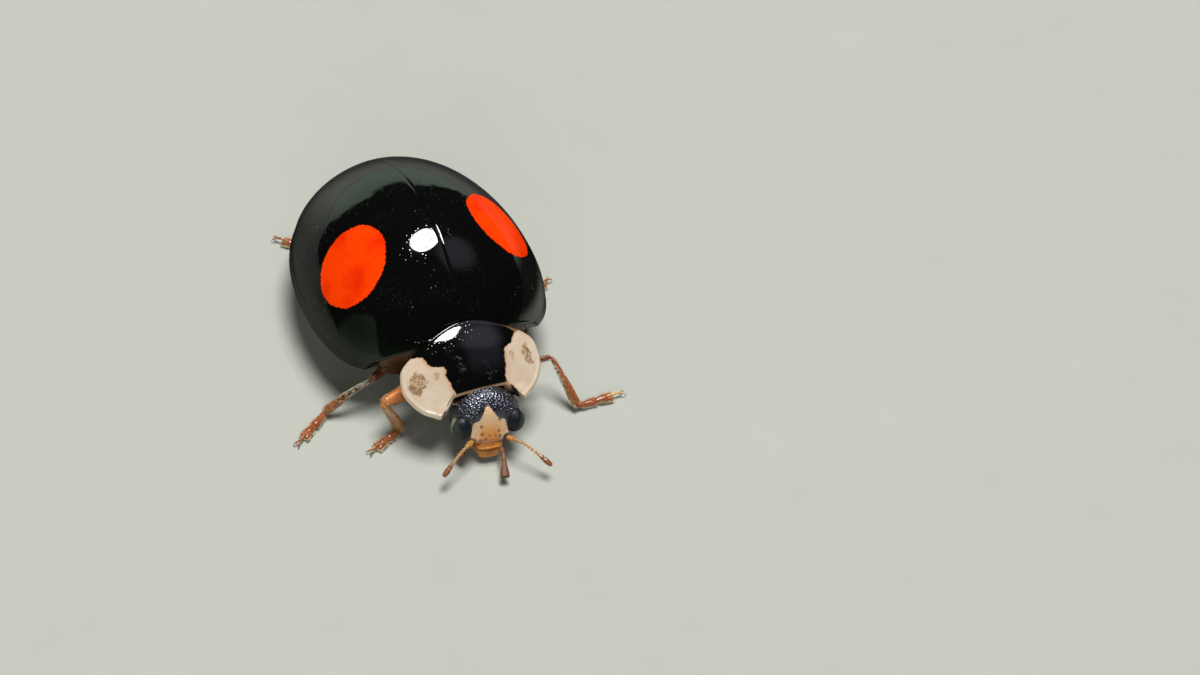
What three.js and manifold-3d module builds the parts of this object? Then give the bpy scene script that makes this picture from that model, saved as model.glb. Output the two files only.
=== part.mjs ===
// A harlequin ladybird (Harmonia axyridis, form conspicua) at life size, standing on its six feet.
// Millimetres, +Z up. The beetle faces -Y, its left side is +X, and its soles lie at Z = 0.

import * as THREE from 'three';
import { mergeVertices } from 'three/addons/utils/BufferGeometryUtils.js';
import Module from 'manifold-3d';

// ---------------------------------------------------------------- driving dimensions

const GAP = 0.03; // clearance between neighbouring pieces

const SHELL = {
  halfWidth: 2.78,
  widestY: -0.1,
  frontY: -2.46, // the wing cases' front edge, in the middle
  shoulderY: -2.24, // the same edge at the shoulders
  shoulderX: 1.887, // how far out the shoulders are
  cornerX: 2.36, // beyond the wing cases' rounded front corners
  slopeY: -2.238, // where the crown line has come down to slopeZ
  slopeZ: 2.541,
  virtualFrontY: -2.935, // where their outline would close if it ran on forwards
  rearY: 3.38,
  marginZ: 1.291,
  crownZ: 3.71,
  crownY: -0.2,
  lining: 0.45, // depth of the wing cases inside the dome
  brim: 0.26, // width of the flange that runs round the dome
  brimPower: 10, // how sharply it turns out
  frontPower: 2.4,
  rearPower: 2.1,
  archPower: 1.95,
  frontSlopePower: 2.2,
};

const BELLY = { bottomZ: 0.86, waistY: -0.42, archPower: 2.0 };

const SCUTELLUM = { halfWidth: 0.28, baseY: -2.36, apexY: -1.9 };

const PRONOTUM = {
  centreY: -3.1,
  reach: 1.3, // about how far the rim lies from the centre
  hindZ: 2.508, // height of the hind edge's middle, at hindY
  hindY: -2.3,
  slope: 0.7157,
  sideDrop: 0.4265,
  dropWidth: 1.8,
  dropPower: 2.2,
  crown: 0.2, // how far the middle swells above its edges
  crownY: -3.02,
  crownReach: 0.69,
  rim: 0.1,
  depth: 0.42,
  // half of the outline in plan, from the middle of the front edge to the middle of the hind edge
  outline: [
    [0, -3.69], [0.4, -3.67], [0.7, -3.7], [0.95, -3.94], [1.2, -3.83], [1.45, -3.62],
    [1.63, -3.32], [1.65, -3.1], [1.58, -2.88], [1.36, -2.77], [1.05, -2.68], [0.6, -2.53],
    [0.25, -2.44], [0, -2.42],
  ],
};

const PROTHORAX = {
  frontY: -3.85,
  middleY: -2.8,
  virtualRearY: -1.64, // where its outline would close if it ran on into the trunk
  halfWidth: 1.15,
  seatZ: 1.3,
  bottomZ: 0.72,
  underPlate: 0.2, // how far its roof lies below the pronotum's surface
  endPower: 2.5,
  archPower: 2.2,
};

const HEAD = {
  centre: [0.09, -3.86, 0.95],
  faceTilt: 0.4, // radians that the face leans back from upright
  faceTurn: -0.124, // radians that it is turned, to the beetle's right
  halfWidth: 0.8,
  halfHeight: 0.62,
  halfDepth: 0.46,
  power: 2.4,
  crownFall: 0.35, // how far the crown slopes down at its sides, as a share of the height
  chinPower: 7, // how squarely the face ends below
  chinReach: 0.15, // how far it is drawn out downwards, as a share of the height
};

// Places on the head are [across, up the face, out of the face] from its centre.
const EYE = { place: [0.6, -0.17, 0.25], size: [0.25, 0.29, 0.26] };
const CLYPEUS = { place: [0, -0.67, 0.26], size: [0.33, 0.12, 0.2] };
const LABRUM = { place: [0, -0.87, 0.23], size: [0.27, 0.15, 0.16] };
const MOUTH = { place: [0, -0.7, -0.04], size: [0.4, 0.22, 0.26] };

const ANTENNAE = {
  left: [[0.44, -4.49, 0.62], [0.72, -4.85, 0.66], [1.13, -5.4, 0.42]],
  right: [[-0.39, -4.39, 0.64], [-0.78, -4.62, 0.66], [-1.3, -4.96, 0.45]],
};

const PALPS = {
  left: [[0.24, -4.3, 0.42], [0.24, -4.7, 0.42], [0.08, -5.25, 0.24]],
  right: [[-0.26, -4.2, 0.42], [-0.5, -4.3, 0.4], [-0.68, -4.42, 0.3]],
};
const FEELER = { base: 0.23, club: 0.27 }; // half-thickness of the antennae
const PALP_RADIUS = 0.22;

// Each leg: hip, knee, ankle and the tip of the claws, as [x, y, z].
const LEGS = {
  front_left: [[0.55, -2.75, 0.85], [2.14, -2.9, 1.02], [2.5, -3.76, 0.2], [3.74, -3.68, 0]],
  front_right: [[-0.55, -2.6, 0.85], [-2.04, -3.02, 1.06], [-1.57, -3.13, 0.22], [-2.5, -3.54, 0]],
  middle_left: [[0.6, -1.35, 0.66], [2.15, -1.25, 0.95], [2.68, -0.36, 0.22], [3.52, 0.1, 0]],
  middle_right: [[-0.6, -1.35, 0.66], [-1.99, -2.24, 0.98], [-2.98, -2.15, 0.24], [-3.94, -2.82, 0]],
  hind_left: [[0.6, -0.25, 0.66], [2.05, 0.75, 0.93], [2.35, 2.0, 0.22], [2.45, 2.95, 0]],
  hind_right: [[-0.6, -0.25, 0.66], [-1.95, 1.15, 0.93], [-1.45, 2.62, 0.22], [-2.18, 3.27, 0]],
};
// Half-thicknesses along each segment; bow is how far its middle is raised.
const FEMUR = { middle: 0.3, ends: 0.25, bow: 0.05 };
const TIBIA = { knee: 0.25, ankle: 0.26, bow: 0.06 };
const TARSUS = { ankle: 0.24, lobe: 0.29, claw: 0.23, lobeAt: 0.4, lobeSpread: 0.22, axisZ: 0.2 };

// ---------------------------------------------------------------- solids: helpers

const wasm = await Module();
wasm.setup();

function solidOf(geometry) {
  const bare = geometry.clone();
  bare.deleteAttribute('normal');
  bare.deleteAttribute('uv');
  const merged = mergeVertices(bare, 1e-4);
  return new wasm.Manifold(new wasm.Mesh({
    numProp: 3,
    vertProperties: new Float32Array(merged.attributes.position.array),
    triVerts: new Uint32Array(merged.index.array),
  }));
}

function geometryOf(solid) {
  const mesh = solid.getMesh();
  const geometry = new THREE.BufferGeometry();
  geometry.setAttribute('position', new THREE.BufferAttribute(mesh.vertProperties, 3));
  geometry.setIndex(new THREE.BufferAttribute(mesh.triVerts, 1));
  geometry.computeVertexNormals();
  return geometry;
}

function box(low, high) {
  const size = new THREE.Vector3(...high).sub(new THREE.Vector3(...low));
  const middle = new THREE.Vector3(...high).add(new THREE.Vector3(...low)).multiplyScalar(0.5);
  return solidOf(new THREE.BoxGeometry(size.x, size.y, size.z).translate(middle.x, middle.y, middle.z));
}

// A power that keeps its sign, for rounded-square sections.
function bend(value, power) {
  return Math.sign(value) * Math.abs(value) ** (2 / power);
}

// A closed solid made by moving each point of a unit sphere; the poles lie on Y.
function shaped(around, along, place) {
  const geometry = new THREE.SphereGeometry(1, around, along);
  const position = geometry.attributes.position;
  const point = new THREE.Vector3();
  for (let i = 0; i < position.count; i += 1) {
    point.fromBufferAttribute(position, i);
    const moved = place(point);
    position.setXYZ(i, moved.x, moved.y, moved.z);
  }
  return solidOf(geometry);
}

// A body along Y. Its sections are an upper and a lower arch that meet at seat(y).
function hull(around, along, form) {
  const finish = form.finish ?? ((place) => place);
  return shaped(around, along, (p) => {
    const y = (form.frontY + form.rearY) / 2 + (p.y * (form.rearY - form.frontY)) / 2;
    const ring = Math.hypot(p.x, p.z);
    if (ring < 1e-6) {
      return finish(new THREE.Vector3(0, y, form.seat(y)), 0);
    }
    const x = form.half(y) * bend(p.x / ring, form.archPower);
    const reach = p.z > 0 ? form.top(y) - form.seat(y) : form.seat(y) - form.bottom(y);
    const place = new THREE.Vector3(x, y, form.seat(y) + reach * bend(p.z / ring, form.archPower));
    return finish(place, p.x / ring);
  });
}

// A rounded block on its own axes; form moves a point of it, given in shares of its half-sizes.
function pebble(around, along, centre, axes, size, power, form = (point) => point) {
  return shaped(around, along, (p) => {
    const length = (Math.abs(p.x) ** power + Math.abs(p.y) ** power + Math.abs(p.z) ** power) ** (1 / power);
    const point = form(p.clone().divideScalar(length));
    return centre.clone()
      .addScaledVector(axes[0], size[0] * point.x)
      .addScaledVector(axes[1], size[1] * point.y)
      .addScaledVector(axes[2], size[2] * point.z);
  });
}

// A round-ended limb along a curve; radius(s) is its half-thickness at s = 0 to 1.
function limb(around, along, curve, radius) {
  const length = curve.getLength();
  const up = new THREE.Vector3(0, 0, 1);
  return shaped(around, along, (p) => {
    const s = (1 + p.y) / 2;
    const tangent = curve.getTangentAt(s);
    const side = new THREE.Vector3().crossVectors(tangent, up).normalize();
    const rise = new THREE.Vector3().crossVectors(side, tangent);
    const end = Math.min(s, 1 - s) * length;
    const thick = radius(s);
    const cap = end < thick ? Math.sqrt(1 - (1 - end / thick) ** 2) : 1;
    const ring = Math.max(Math.hypot(p.x, p.z), 1e-9);
    return curve.getPointAt(s)
      .addScaledVector(side, (thick * cap * p.x) / ring)
      .addScaledVector(rise, (thick * cap * p.z) / ring);
  });
}

const vector = (list) => new THREE.Vector3(...list);
const mix = (a, b, t) => a + (b - a) * t;

const group = new THREE.Group();
group.name = 'harlequin_ladybird';

function add(name, solid, colour, roughness) {
  const material = new THREE.MeshStandardMaterial({ color: colour, roughness, metalness: 0 });
  const mesh = new THREE.Mesh(geometryOf(solid), material);
  mesh.name = name;
  group.add(mesh);
}

const COLOURS = {
  shell: 0x0b0b0c,
  belly: 0x4a2410,
  head: 0x101013,
  eye: 0x17181c,
  lip: 0xc87a28,
  leg: 0xa8521c,
  feeler: 0xc8862e,
};

// ---------------------------------------------------------------- wing cases, trunk and scutellum

// How far in from its ends a rounded outline has closed at y: 0 at the end, 1 at the middle.
function closing(y, middle, end, power) {
  const t = Math.min(Math.abs((y - middle) / (end - middle)), 1);
  return (1 - t ** power) ** (1 / power);
}

// The flange that runs round the foot of the dome: points near the margin move outwards in plan.
function addBrim(place, side, rearEnd) {
  const width = SHELL.halfWidth - SHELL.brim;
  const length = rearEnd - SHELL.widestY;
  const along = Math.max(place.y - SHELL.widestY, 0) / length;
  const across = along > 0 ? place.x / width : side;
  const power = SHELL.rearPower;
  const nearness = (Math.abs(across) ** power + along ** power) ** (1 / power);
  const out = new THREE.Vector3(across / width, along / length, 0).normalize();
  return place.addScaledVector(out, SHELL.brim * nearness ** SHELL.brimPower);
}

// The domed form of both wing cases together: the dome proper is drawn in by `inset` all round.
function dome(inset, bottomZ, withBrim = false, around = 28, along = 12) {
  const fromEdge = inset + SHELL.brim;
  const frontEnd = SHELL.virtualFrontY + inset;
  const rearEnd = SHELL.rearY - fromEdge;
  const crown = SHELL.crownZ - inset;
  const half = (y) => (SHELL.halfWidth - fromEdge) * (y < SHELL.widestY
    ? closing(y, SHELL.widestY, frontEnd, SHELL.frontPower)
    : closing(y, SHELL.widestY, rearEnd, SHELL.rearPower));
  const top = (y) => {
    if (y > SHELL.crownY) {
      return SHELL.marginZ + (crown - SHELL.marginZ) * closing(y, SHELL.crownY, rearEnd, SHELL.rearPower);
    }
    const t = (SHELL.crownY - y) / (SHELL.crownY - SHELL.slopeY);
    return crown - (SHELL.crownZ - SHELL.slopeZ) * t ** SHELL.frontSlopePower;
  };
  const bottom = (y) => {
    const depth = closing(y, SHELL.widestY, y < SHELL.widestY ? frontEnd : rearEnd, BELLY.archPower);
    return SHELL.marginZ - (SHELL.marginZ - bottomZ) * depth;
  };
  return hull(around, along, {
    frontY: frontEnd,
    rearY: rearEnd,
    half,
    top,
    bottom,
    seat: () => SHELL.marginZ,
    archPower: SHELL.archPower,
    finish: (place, side) => (withBrim ? addBrim(place, side, rearEnd) : place),
  });
}

const FAR = 6; // beyond the reach of every piece
const ahead = (y) => box([-FAR, -FAR * 2, -FAR], [FAR, y, FAR]);
const behind = (y) => box([-FAR, y, -FAR], [FAR, FAR * 2, FAR]);

// An upright block with the given outline in plan.
function prism(corners) {
  const shape = new THREE.Shape(corners.map(([x, y]) => new THREE.Vector2(x, y)));
  return solidOf(new THREE.ExtrudeGeometry(shape, { depth: FAR, bevelEnabled: false }));
}

// All that lies ahead of the wing cases' front edge, which bows forwards between the shoulders.
function aheadOfCases(grow) {
  const edgeY = (x) => mix(SHELL.frontY, SHELL.shoulderY, (x / SHELL.shoulderX) ** 4) - grow;
  const corners = [[-FAR, -FAR * 2], [FAR, -FAR * 2], [FAR, edgeY(SHELL.cornerX)]];
  for (let step = 10; step >= -10; step -= 1) {
    const x = (SHELL.cornerX * step) / 10;
    corners.push([x, edgeY(x)]);
  }
  corners.push([-FAR, edgeY(SHELL.cornerX)]);
  return prism(corners);
}

const scutellumPrism = (grow) => prism([
  [-SCUTELLUM.halfWidth - grow, SHELL.frontY - 1],
  [SCUTELLUM.halfWidth + grow, SHELL.frontY - 1],
  [SCUTELLUM.halfWidth + grow, SCUTELLUM.baseY],
  [0, SCUTELLUM.apexY + grow * 2],
  [-SCUTELLUM.halfWidth - grow, SCUTELLUM.baseY],
]);

const outer = dome(0, SHELL.marginZ, true, 44, 18).subtract(aheadOfCases(0));
const aroundCases = dome(-GAP, SHELL.marginZ - GAP, true).subtract(aheadOfCases(GAP));
const shell = outer.subtract(dome(SHELL.lining, 0));
const split = box([-GAP / 2, -FAR, -FAR], [GAP / 2, FAR, FAR]);
const cases = shell.subtract(split).subtract(scutellumPrism(GAP));
add('elytron_left', cases.intersect(box([0, -FAR, -FAR], [FAR, FAR, FAR])), COLOURS.shell, 0.12);
add('elytron_right', cases.intersect(box([-FAR, -FAR, -FAR], [0, FAR, FAR])), COLOURS.shell, 0.12);
add('scutellum', shell.intersect(scutellumPrism(0)), COLOURS.shell, 0.15);

const trunk = dome(SHELL.lining + GAP, BELLY.bottomZ).subtract(ahead(SHELL.frontY));
add('thorax', trunk.subtract(behind(BELLY.waistY)), COLOURS.belly, 0.4);
add('abdomen', trunk.subtract(ahead(BELLY.waistY + GAP)), COLOURS.belly, 0.4);

// ---------------------------------------------------------------- pronotum, prothorax

const outlineHalf = PRONOTUM.outline.map(([x, y]) => new THREE.Vector3(x, y, 0));
const outlineBack = PRONOTUM.outline.slice(1, -1).reverse().map(([x, y]) => new THREE.Vector3(-x, y, 0));
const pronotumOutline = new THREE.CatmullRomCurve3([...outlineHalf, ...outlineBack], true, 'centripetal');

function pronotumTop(x, y) {
  const alongY = (y - PRONOTUM.crownY) / PRONOTUM.crownReach;
  const acrossX = x / PRONOTUM.dropWidth;
  const crown = Math.max(1 - alongY ** 2, 0) * Math.max(1 - acrossX ** 2, 0);
  return PRONOTUM.hindZ + PRONOTUM.slope * (y - PRONOTUM.hindY)
    - PRONOTUM.sideDrop * Math.abs(acrossX) ** PRONOTUM.dropPower
    + PRONOTUM.crown * crown;
}

// The shield: a plate that is thin at its rim and deeper over the body.
function pronotum(grow) {
  return shaped(36, 9, (p) => {
    const turn = Math.atan2(p.x, p.z) / (2 * Math.PI);
    const rim = pronotumOutline.getPoint((turn + 1) % 1);
    const out = Math.hypot(p.x, p.z);
    const spread = 1 + grow / PRONOTUM.reach;
    const x = rim.x * out * spread;
    const y = PRONOTUM.centreY + (rim.y - PRONOTUM.centreY) * out * spread;
    const lift = p.y > 0
      ? Math.min(p.y * 2, 1) * grow
      : -mix(PRONOTUM.rim, PRONOTUM.depth, (1 - out) ** 0.5) - grow;
    return new THREE.Vector3(x, y, pronotumTop(x, y) + lift);
  });
}

// The body under the shield, that carries the head and the front legs.
function prothoraxHull(grow) {
  const closed = (y) => {
    const end = y < PROTHORAX.middleY ? PROTHORAX.frontY : PROTHORAX.virtualRearY;
    return closing(y, PROTHORAX.middleY, end, PROTHORAX.endPower);
  };
  return hull(20, 8, {
    frontY: PROTHORAX.frontY,
    rearY: PROTHORAX.virtualRearY,
    half: (y) => PROTHORAX.halfWidth * closed(y) + grow,
    top: (y) => Math.max(pronotumTop(0, y) - PROTHORAX.underPlate, PROTHORAX.seatZ),
    seat: () => PROTHORAX.seatZ,
    bottom: (y) => mix(PROTHORAX.seatZ, PROTHORAX.bottomZ, closed(y)) - grow,
    archPower: PROTHORAX.archPower,
  });
}

// ---------------------------------------------------------------- head, with its frame of axes

const turned = (axis) => axis.applyAxisAngle(new THREE.Vector3(0, 0, 1), HEAD.faceTurn);
const acrossHead = turned(new THREE.Vector3(1, 0, 0));
const upFace = turned(new THREE.Vector3(0, Math.sin(HEAD.faceTilt), Math.cos(HEAD.faceTilt)));
const outOfFace = turned(new THREE.Vector3(0, -Math.cos(HEAD.faceTilt), Math.sin(HEAD.faceTilt)));
const headAxes = [acrossHead, upFace, outOfFace];

function onHead(place, side = 1) {
  return vector(HEAD.centre)
    .addScaledVector(acrossHead, place[0] * side)
    .addScaledVector(upFace, place[1])
    .addScaledVector(outOfFace, place[2]);
}

const grown = (size, grow) => size.map((value) => value + grow);

// The crown slopes down towards the eyes, and the face keeps its depth down to the mouth.
function faceForm(point) {
  const low = Math.min(Math.max(-point.y, 0), 1);
  const ring = Math.max((1 - low ** HEAD.power) ** (1 / HEAD.power), 0.001);
  const full = (1 - low ** HEAD.chinPower) ** (1 / HEAD.chinPower);
  const facing = Math.min(Math.max(point.z / ring, 0), 1) ** 2;
  const drawnOut = 1 + HEAD.chinReach * facing * Math.min(low * 2, 1);
  const fall = HEAD.crownFall * point.x ** 2 * Math.max(point.y, 0);
  const out = point.z > 0 ? point.z * (1 + facing * (full / ring - 1)) : point.z;
  return new THREE.Vector3(point.x, point.y * drawnOut - fall, out);
}

const headSize = [HEAD.halfWidth, HEAD.halfHeight, HEAD.halfDepth];
function headBlock(grow) {
  return pebble(20, 12, vector(HEAD.centre), headAxes, grown(headSize, grow), HEAD.power, faceForm);
}
const eye = (side, grow) => pebble(12, 8, onHead(EYE.place, side), headAxes, grown(EYE.size, grow), 2);
const clypeus = (grow) => pebble(12, 7, onHead(CLYPEUS.place), headAxes, grown(CLYPEUS.size, grow), 2.6);
const labrum = (grow) => pebble(12, 7, onHead(LABRUM.place), headAxes, grown(LABRUM.size, grow), 2.4);
const mouth = (grow) => pebble(12, 7, onHead(MOUTH.place), headAxes, grown(MOUTH.size, grow), 2.4);

const shield = pronotum(0).subtract(aroundCases);
const head = headBlock(0)
  .subtract(pronotum(GAP))
  .subtract(eye(1, GAP))
  .subtract(eye(-1, GAP))
  .subtract(clypeus(GAP));
const prothoraxCutters = [pronotum(GAP), headBlock(GAP), behind(SHELL.frontY - GAP)];
const prothorax = clearOf(prothoraxHull(0), prothoraxCutters);

add('pronotum', shield, COLOURS.shell, 0.15);
add('prothorax', prothorax, COLOURS.belly, 0.4);
add('head', head, COLOURS.head, 0.2);
add('eye_left', eye(1, 0), COLOURS.eye, 0.15);
add('eye_right', eye(-1, 0), COLOURS.eye, 0.15);

const upperLip = labrum(0).subtract(clypeus(GAP)).subtract(headBlock(GAP));
const lowerMouth = mouth(0)
  .subtract(headBlock(GAP))
  .subtract(clypeus(GAP))
  .subtract(labrum(GAP));
add('clypeus', clypeus(0), COLOURS.lip, 0.3);
add('labrum', upperLip, COLOURS.lip, 0.3);
add('mouthparts', lowerMouth, COLOURS.lip, 0.4);

// ---------------------------------------------------------------- feelers and palps

const faceCutters = [headBlock(GAP), clypeus(GAP), labrum(GAP), mouth(GAP), eye(1, GAP), eye(-1, GAP)];
const curveThrough = (points) => new THREE.CatmullRomCurve3(points.map(vector), false, 'centripetal');

// What is left of a solid outside the cutters, without crumbs.
function clearOf(solid, cutters) {
  const cut = cutters.reduce((left, cutter) => left.subtract(cutter), solid);
  const pieces = cut.decompose();
  return pieces.reduce((best, piece) => (piece.volume() > best.volume() ? piece : best));
}

for (const side of ['left', 'right']) {
  const thick = (s) => mix(FEELER.base, FEELER.club, s ** 2);
  const feeler = limb(8, 10, curveThrough(ANTENNAE[side]), thick);
  const palp = limb(8, 6, curveThrough(PALPS[side]), () => PALP_RADIUS);
  const antenna = clearOf(feeler, faceCutters);
  add(`antenna_${side}`, antenna, COLOURS.feeler, 0.4);
  const grownFeeler = limb(8, 10, curveThrough(ANTENNAE[side]), (s) => thick(s) + GAP);
  add(`palp_${side}`, clearOf(palp, [...faceCutters, grownFeeler]), COLOURS.feeler, 0.4);
}

// ---------------------------------------------------------------- legs

const floorCut = box([-FAR, -FAR * 2, -FAR], [FAR, FAR, 0]);
const bodyCutters = [
  prothoraxHull(GAP),
  dome(SHELL.lining, BELLY.bottomZ - GAP),
  dome(-GAP, SHELL.marginZ - GAP, true),
  pronotum(GAP),
];

// One segment of a leg, between two joints.
function segment(from, to, bow, thick, grow) {
  const middle = from.clone().add(to).multiplyScalar(0.5).add(new THREE.Vector3(0, 0, bow));
  return limb(8, 8, new THREE.QuadraticBezierCurve3(from, middle, to), (s) => thick(s) + grow);
}

for (const [name, joints] of Object.entries(LEGS)) {
  const [hip, knee, ankle, claw] = joints.map(vector);
  const femurThick = (s) => mix(FEMUR.middle, FEMUR.ends, (2 * s - 1) ** 2);
  const femur = (grow) => segment(hip, knee, FEMUR.bow, femurThick, grow);
  const tibia = (grow) => segment(knee, ankle, TIBIA.bow, (s) => mix(TIBIA.knee, TIBIA.ankle, s), grow);
  const heel = new THREE.Vector3(ankle.x, ankle.y, TARSUS.axisZ);
  const toe = new THREE.Vector3(claw.x, claw.y, TARSUS.axisZ);
  const lobe = (s) => Math.exp(-(((s - TARSUS.lobeAt) / TARSUS.lobeSpread) ** 2));
  const tarsusThick = (s) => mix(TARSUS.ankle, TARSUS.claw, s) + (TARSUS.lobe - TARSUS.ankle) * lobe(s);
  const tarsus = segment(heel, toe, 0, tarsusThick, 0);
  add(`femur_${name}`, clearOf(femur(0), bodyCutters), COLOURS.leg, 0.35);
  add(`tibia_${name}`, clearOf(tibia(0), [femur(GAP), ...bodyCutters]), COLOURS.leg, 0.35);
  add(`tarsus_${name}`, clearOf(tarsus, [tibia(GAP), floorCut]), COLOURS.leg, 0.4);
}

// The origin goes under the middle of the whole insect, at the level of its soles.
const bounds = new THREE.Box3().setFromObject(group);
const middle = bounds.getCenter(new THREE.Vector3());
group.position.set(-middle.x, -middle.y, -bounds.min.z);

export default group;
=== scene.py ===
"""A harlequin ladybird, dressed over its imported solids. Shapes are written in millimetres in the
beetle's own frame: it faces -Y, its left is +X, its soles lie at Z = 0 and its midline at X = 0."""
import math
from functools import reduce
from types import SimpleNamespace

import bmesh
import bpy
import numpy as np
from mathutils import Matrix, Vector
from mathutils.kdtree import KDTree


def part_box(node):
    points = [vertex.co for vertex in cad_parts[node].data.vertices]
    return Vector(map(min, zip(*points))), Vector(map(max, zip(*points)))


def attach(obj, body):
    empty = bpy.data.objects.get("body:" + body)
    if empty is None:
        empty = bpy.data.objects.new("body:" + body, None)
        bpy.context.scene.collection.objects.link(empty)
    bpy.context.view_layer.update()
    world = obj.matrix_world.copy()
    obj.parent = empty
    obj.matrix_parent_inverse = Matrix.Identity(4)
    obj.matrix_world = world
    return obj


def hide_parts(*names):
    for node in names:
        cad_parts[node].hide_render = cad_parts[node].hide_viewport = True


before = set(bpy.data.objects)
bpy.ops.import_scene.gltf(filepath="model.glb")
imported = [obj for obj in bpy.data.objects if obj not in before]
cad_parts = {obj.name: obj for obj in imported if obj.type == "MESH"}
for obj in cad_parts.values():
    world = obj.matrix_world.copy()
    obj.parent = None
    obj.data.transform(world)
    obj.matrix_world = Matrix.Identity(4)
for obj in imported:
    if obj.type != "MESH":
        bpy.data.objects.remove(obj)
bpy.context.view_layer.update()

MM = 0.001
TURN = 2 * math.pi
UP = np.array([0.0, 0.0, 1.0])
HALF_SPLIT = 0.015  # half the gap between the solid wing cases
REAR_Y = 3.38  # the wing cases' hind end
low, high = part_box("elytron_left")
SHIFT = np.array([low.x / MM - HALF_SPLIT, high.y / MM - REAR_Y, 0.0])  # from the beetle's frame to the row's
RANDOM = np.random.default_rng(7)


# ---- numbers and points

def smooth_step(low, high, value):
    t = np.clip((value - low) / (high - low), 0.0, 1.0)
    return t * t * (3.0 - 2.0 * t)


def hump(away, width):
    """A bell: 1 in the middle, and nearly 0 at twice the width from it."""
    return np.exp(-(away / width) ** 2)


def closing(y, middle, end, power):
    """A profile that is 1 in the middle and closes roundly at the end."""
    t = np.clip(np.abs((y - middle) / (end - middle)), 0, 1)
    return (1 - t ** power) ** (1 / power)


def rounded(s, start, end):
    """A profile that closes roundly at both ends of 0..1."""
    def closed(share):
        return np.sqrt(1 - (1 - np.clip(share, 0, 1)) ** 2)
    return np.maximum(closed(s / start) * closed((1 - s) / end), 0.02)


def even_ends(count):
    """Places 0..1 that crowd towards both ends."""
    t = np.linspace(0, 1, count)
    return (t + (1 - np.cos(math.pi * t)) / 2) / 2


def turns(count):
    return np.linspace(0, TURN, count, endpoint=False)


def unit(v):
    v = np.asarray(v, float)
    return v / np.maximum(np.linalg.norm(v, axis=-1, keepdims=True), 1e-12)


def xyz(x, y, z):
    return np.stack(np.broadcast_arrays(x, y, z), -1)


def apart(points):
    """Views of x, y and z, so that a change to one moves the points."""
    return np.moveaxis(points, -1, 0)


def resample(path, shares):
    steps = np.linalg.norm(np.diff(path, axis=0), axis=1)
    run = np.concatenate([[0], np.cumsum(steps)])
    return np.stack([np.interp(np.asarray(shares) * run[-1], run, path[:, k]) for k in range(3)], 1)


def spline(knots, count):
    """Points along a smooth curve through the knots, evenly spaced."""
    knots = np.asarray(knots, float)
    ends = np.concatenate([[2 * knots[0] - knots[1]], knots, [2 * knots[-1] - knots[-2]]])
    t = np.linspace(0, len(knots) - 1, 40 * len(knots))
    i = np.minimum(t.astype(int), len(knots) - 2)
    f = (t - i)[:, None]
    a, b, c, d = (ends[i + k] for k in range(4))
    fine = 0.5 * (2 * b + (c - a) * f + (2 * a - 5 * b + 4 * c - d) * f ** 2
                  + (3 * b - a - 3 * c + d) * f ** 3)
    return resample(fine, np.linspace(0, 1, count))


def frames_along(path, rise=None):
    """Tangent, side and rise at each point of a path, turning as little as they can if rise is free."""
    tangent = unit(np.gradient(path, axis=0))
    if rise is not None:
        up = unit(rise - tangent * (tangent @ rise)[:, None])
        return tangent, np.cross(tangent, up), up
    last = UP if abs(tangent[0] @ UP) <= 0.95 else np.array([0.0, 1.0, 0.0])
    up = np.zeros_like(path)
    for i, t in enumerate(tangent):
        last = up[i] = unit(last - t * (last @ t))
    return tangent, np.cross(tangent, up), up


def ball(rows, columns):
    """Directions over a sphere with poles on its second axis, without the poles."""
    lift, turn = np.linspace(0, math.pi, rows + 2)[1:-1, None], turns(columns)
    return xyz(np.sin(lift) * np.sin(turn), np.cos(lift), np.sin(lift) * np.cos(turn))


def block(directions, size, power):
    """Directions brought to the surface of a rounded block."""
    return directions / (np.abs(directions) ** power).sum(-1, keepdims=True) ** (1 / power) * size


def scattered(count):
    """Directions spread over a sphere, a little unevenly."""
    k = np.arange(count) + 0.5
    lift = 1 - 2 * k / count
    turn = k * math.pi * (1 + math.sqrt(5))
    ring = np.sqrt(1 - lift ** 2)
    way = xyz(ring * np.cos(turn), lift, ring * np.sin(turn))
    return unit(way + RANDOM.normal(0, 0.5 / math.sqrt(count), way.shape))


def nearest(points, centres):
    """How far each point lies from the nearest of many centres."""
    tree = KDTree(len(centres))
    for i, centre in enumerate(centres):
        tree.insert(centre, i)
    tree.balance()
    return np.array([tree.find(point)[2] for point in points.reshape(-1, 3)]).reshape(points.shape[:-1])


def disc(count):
    """A disc of quads with no pole: places in the unit disc, quads, and the loop round its edge."""
    line = np.sin(np.linspace(-1, 1, count) * math.pi / 2)
    a, b = np.meshgrid(line, line, indexing="ij")
    spots = np.stack([a * np.sqrt(1 - b * b / 2), b * np.sqrt(1 - a * a / 2)], -1).reshape(-1, 2)
    index = np.arange(count * count).reshape(count, count)
    edge = np.concatenate([index[:-1, 0], index[-1, :-1], index[:0:-1, -1], index[0, :0:-1]])
    return spots, strip(count, count, wrap=False), edge


# ---- meshes

class Part:
    """Points and faces gathered into one closed mesh, or several."""

    def __init__(self):
        self.points, self.faces, self.count, self.uv = [], [], 0, None

    def add(self, points, faces, uv=None):
        self.faces += [face + self.count for face in faces]
        self.points.append(points.reshape(-1, 3))
        self.count += len(self.points[-1])
        self.uv = uv
        return self


def strip(rows, columns, wrap=True):
    """Quads of a grid of rows x columns points, closed across the columns when wrap is set."""
    r = columns * np.arange(rows - 1)[:, None]
    c = np.arange(columns if wrap else columns - 1)
    d = (c + 1) % columns
    return np.stack([r + c, r + d, r + columns + d, r + columns + c], -1).reshape(-1, 4)


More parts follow.
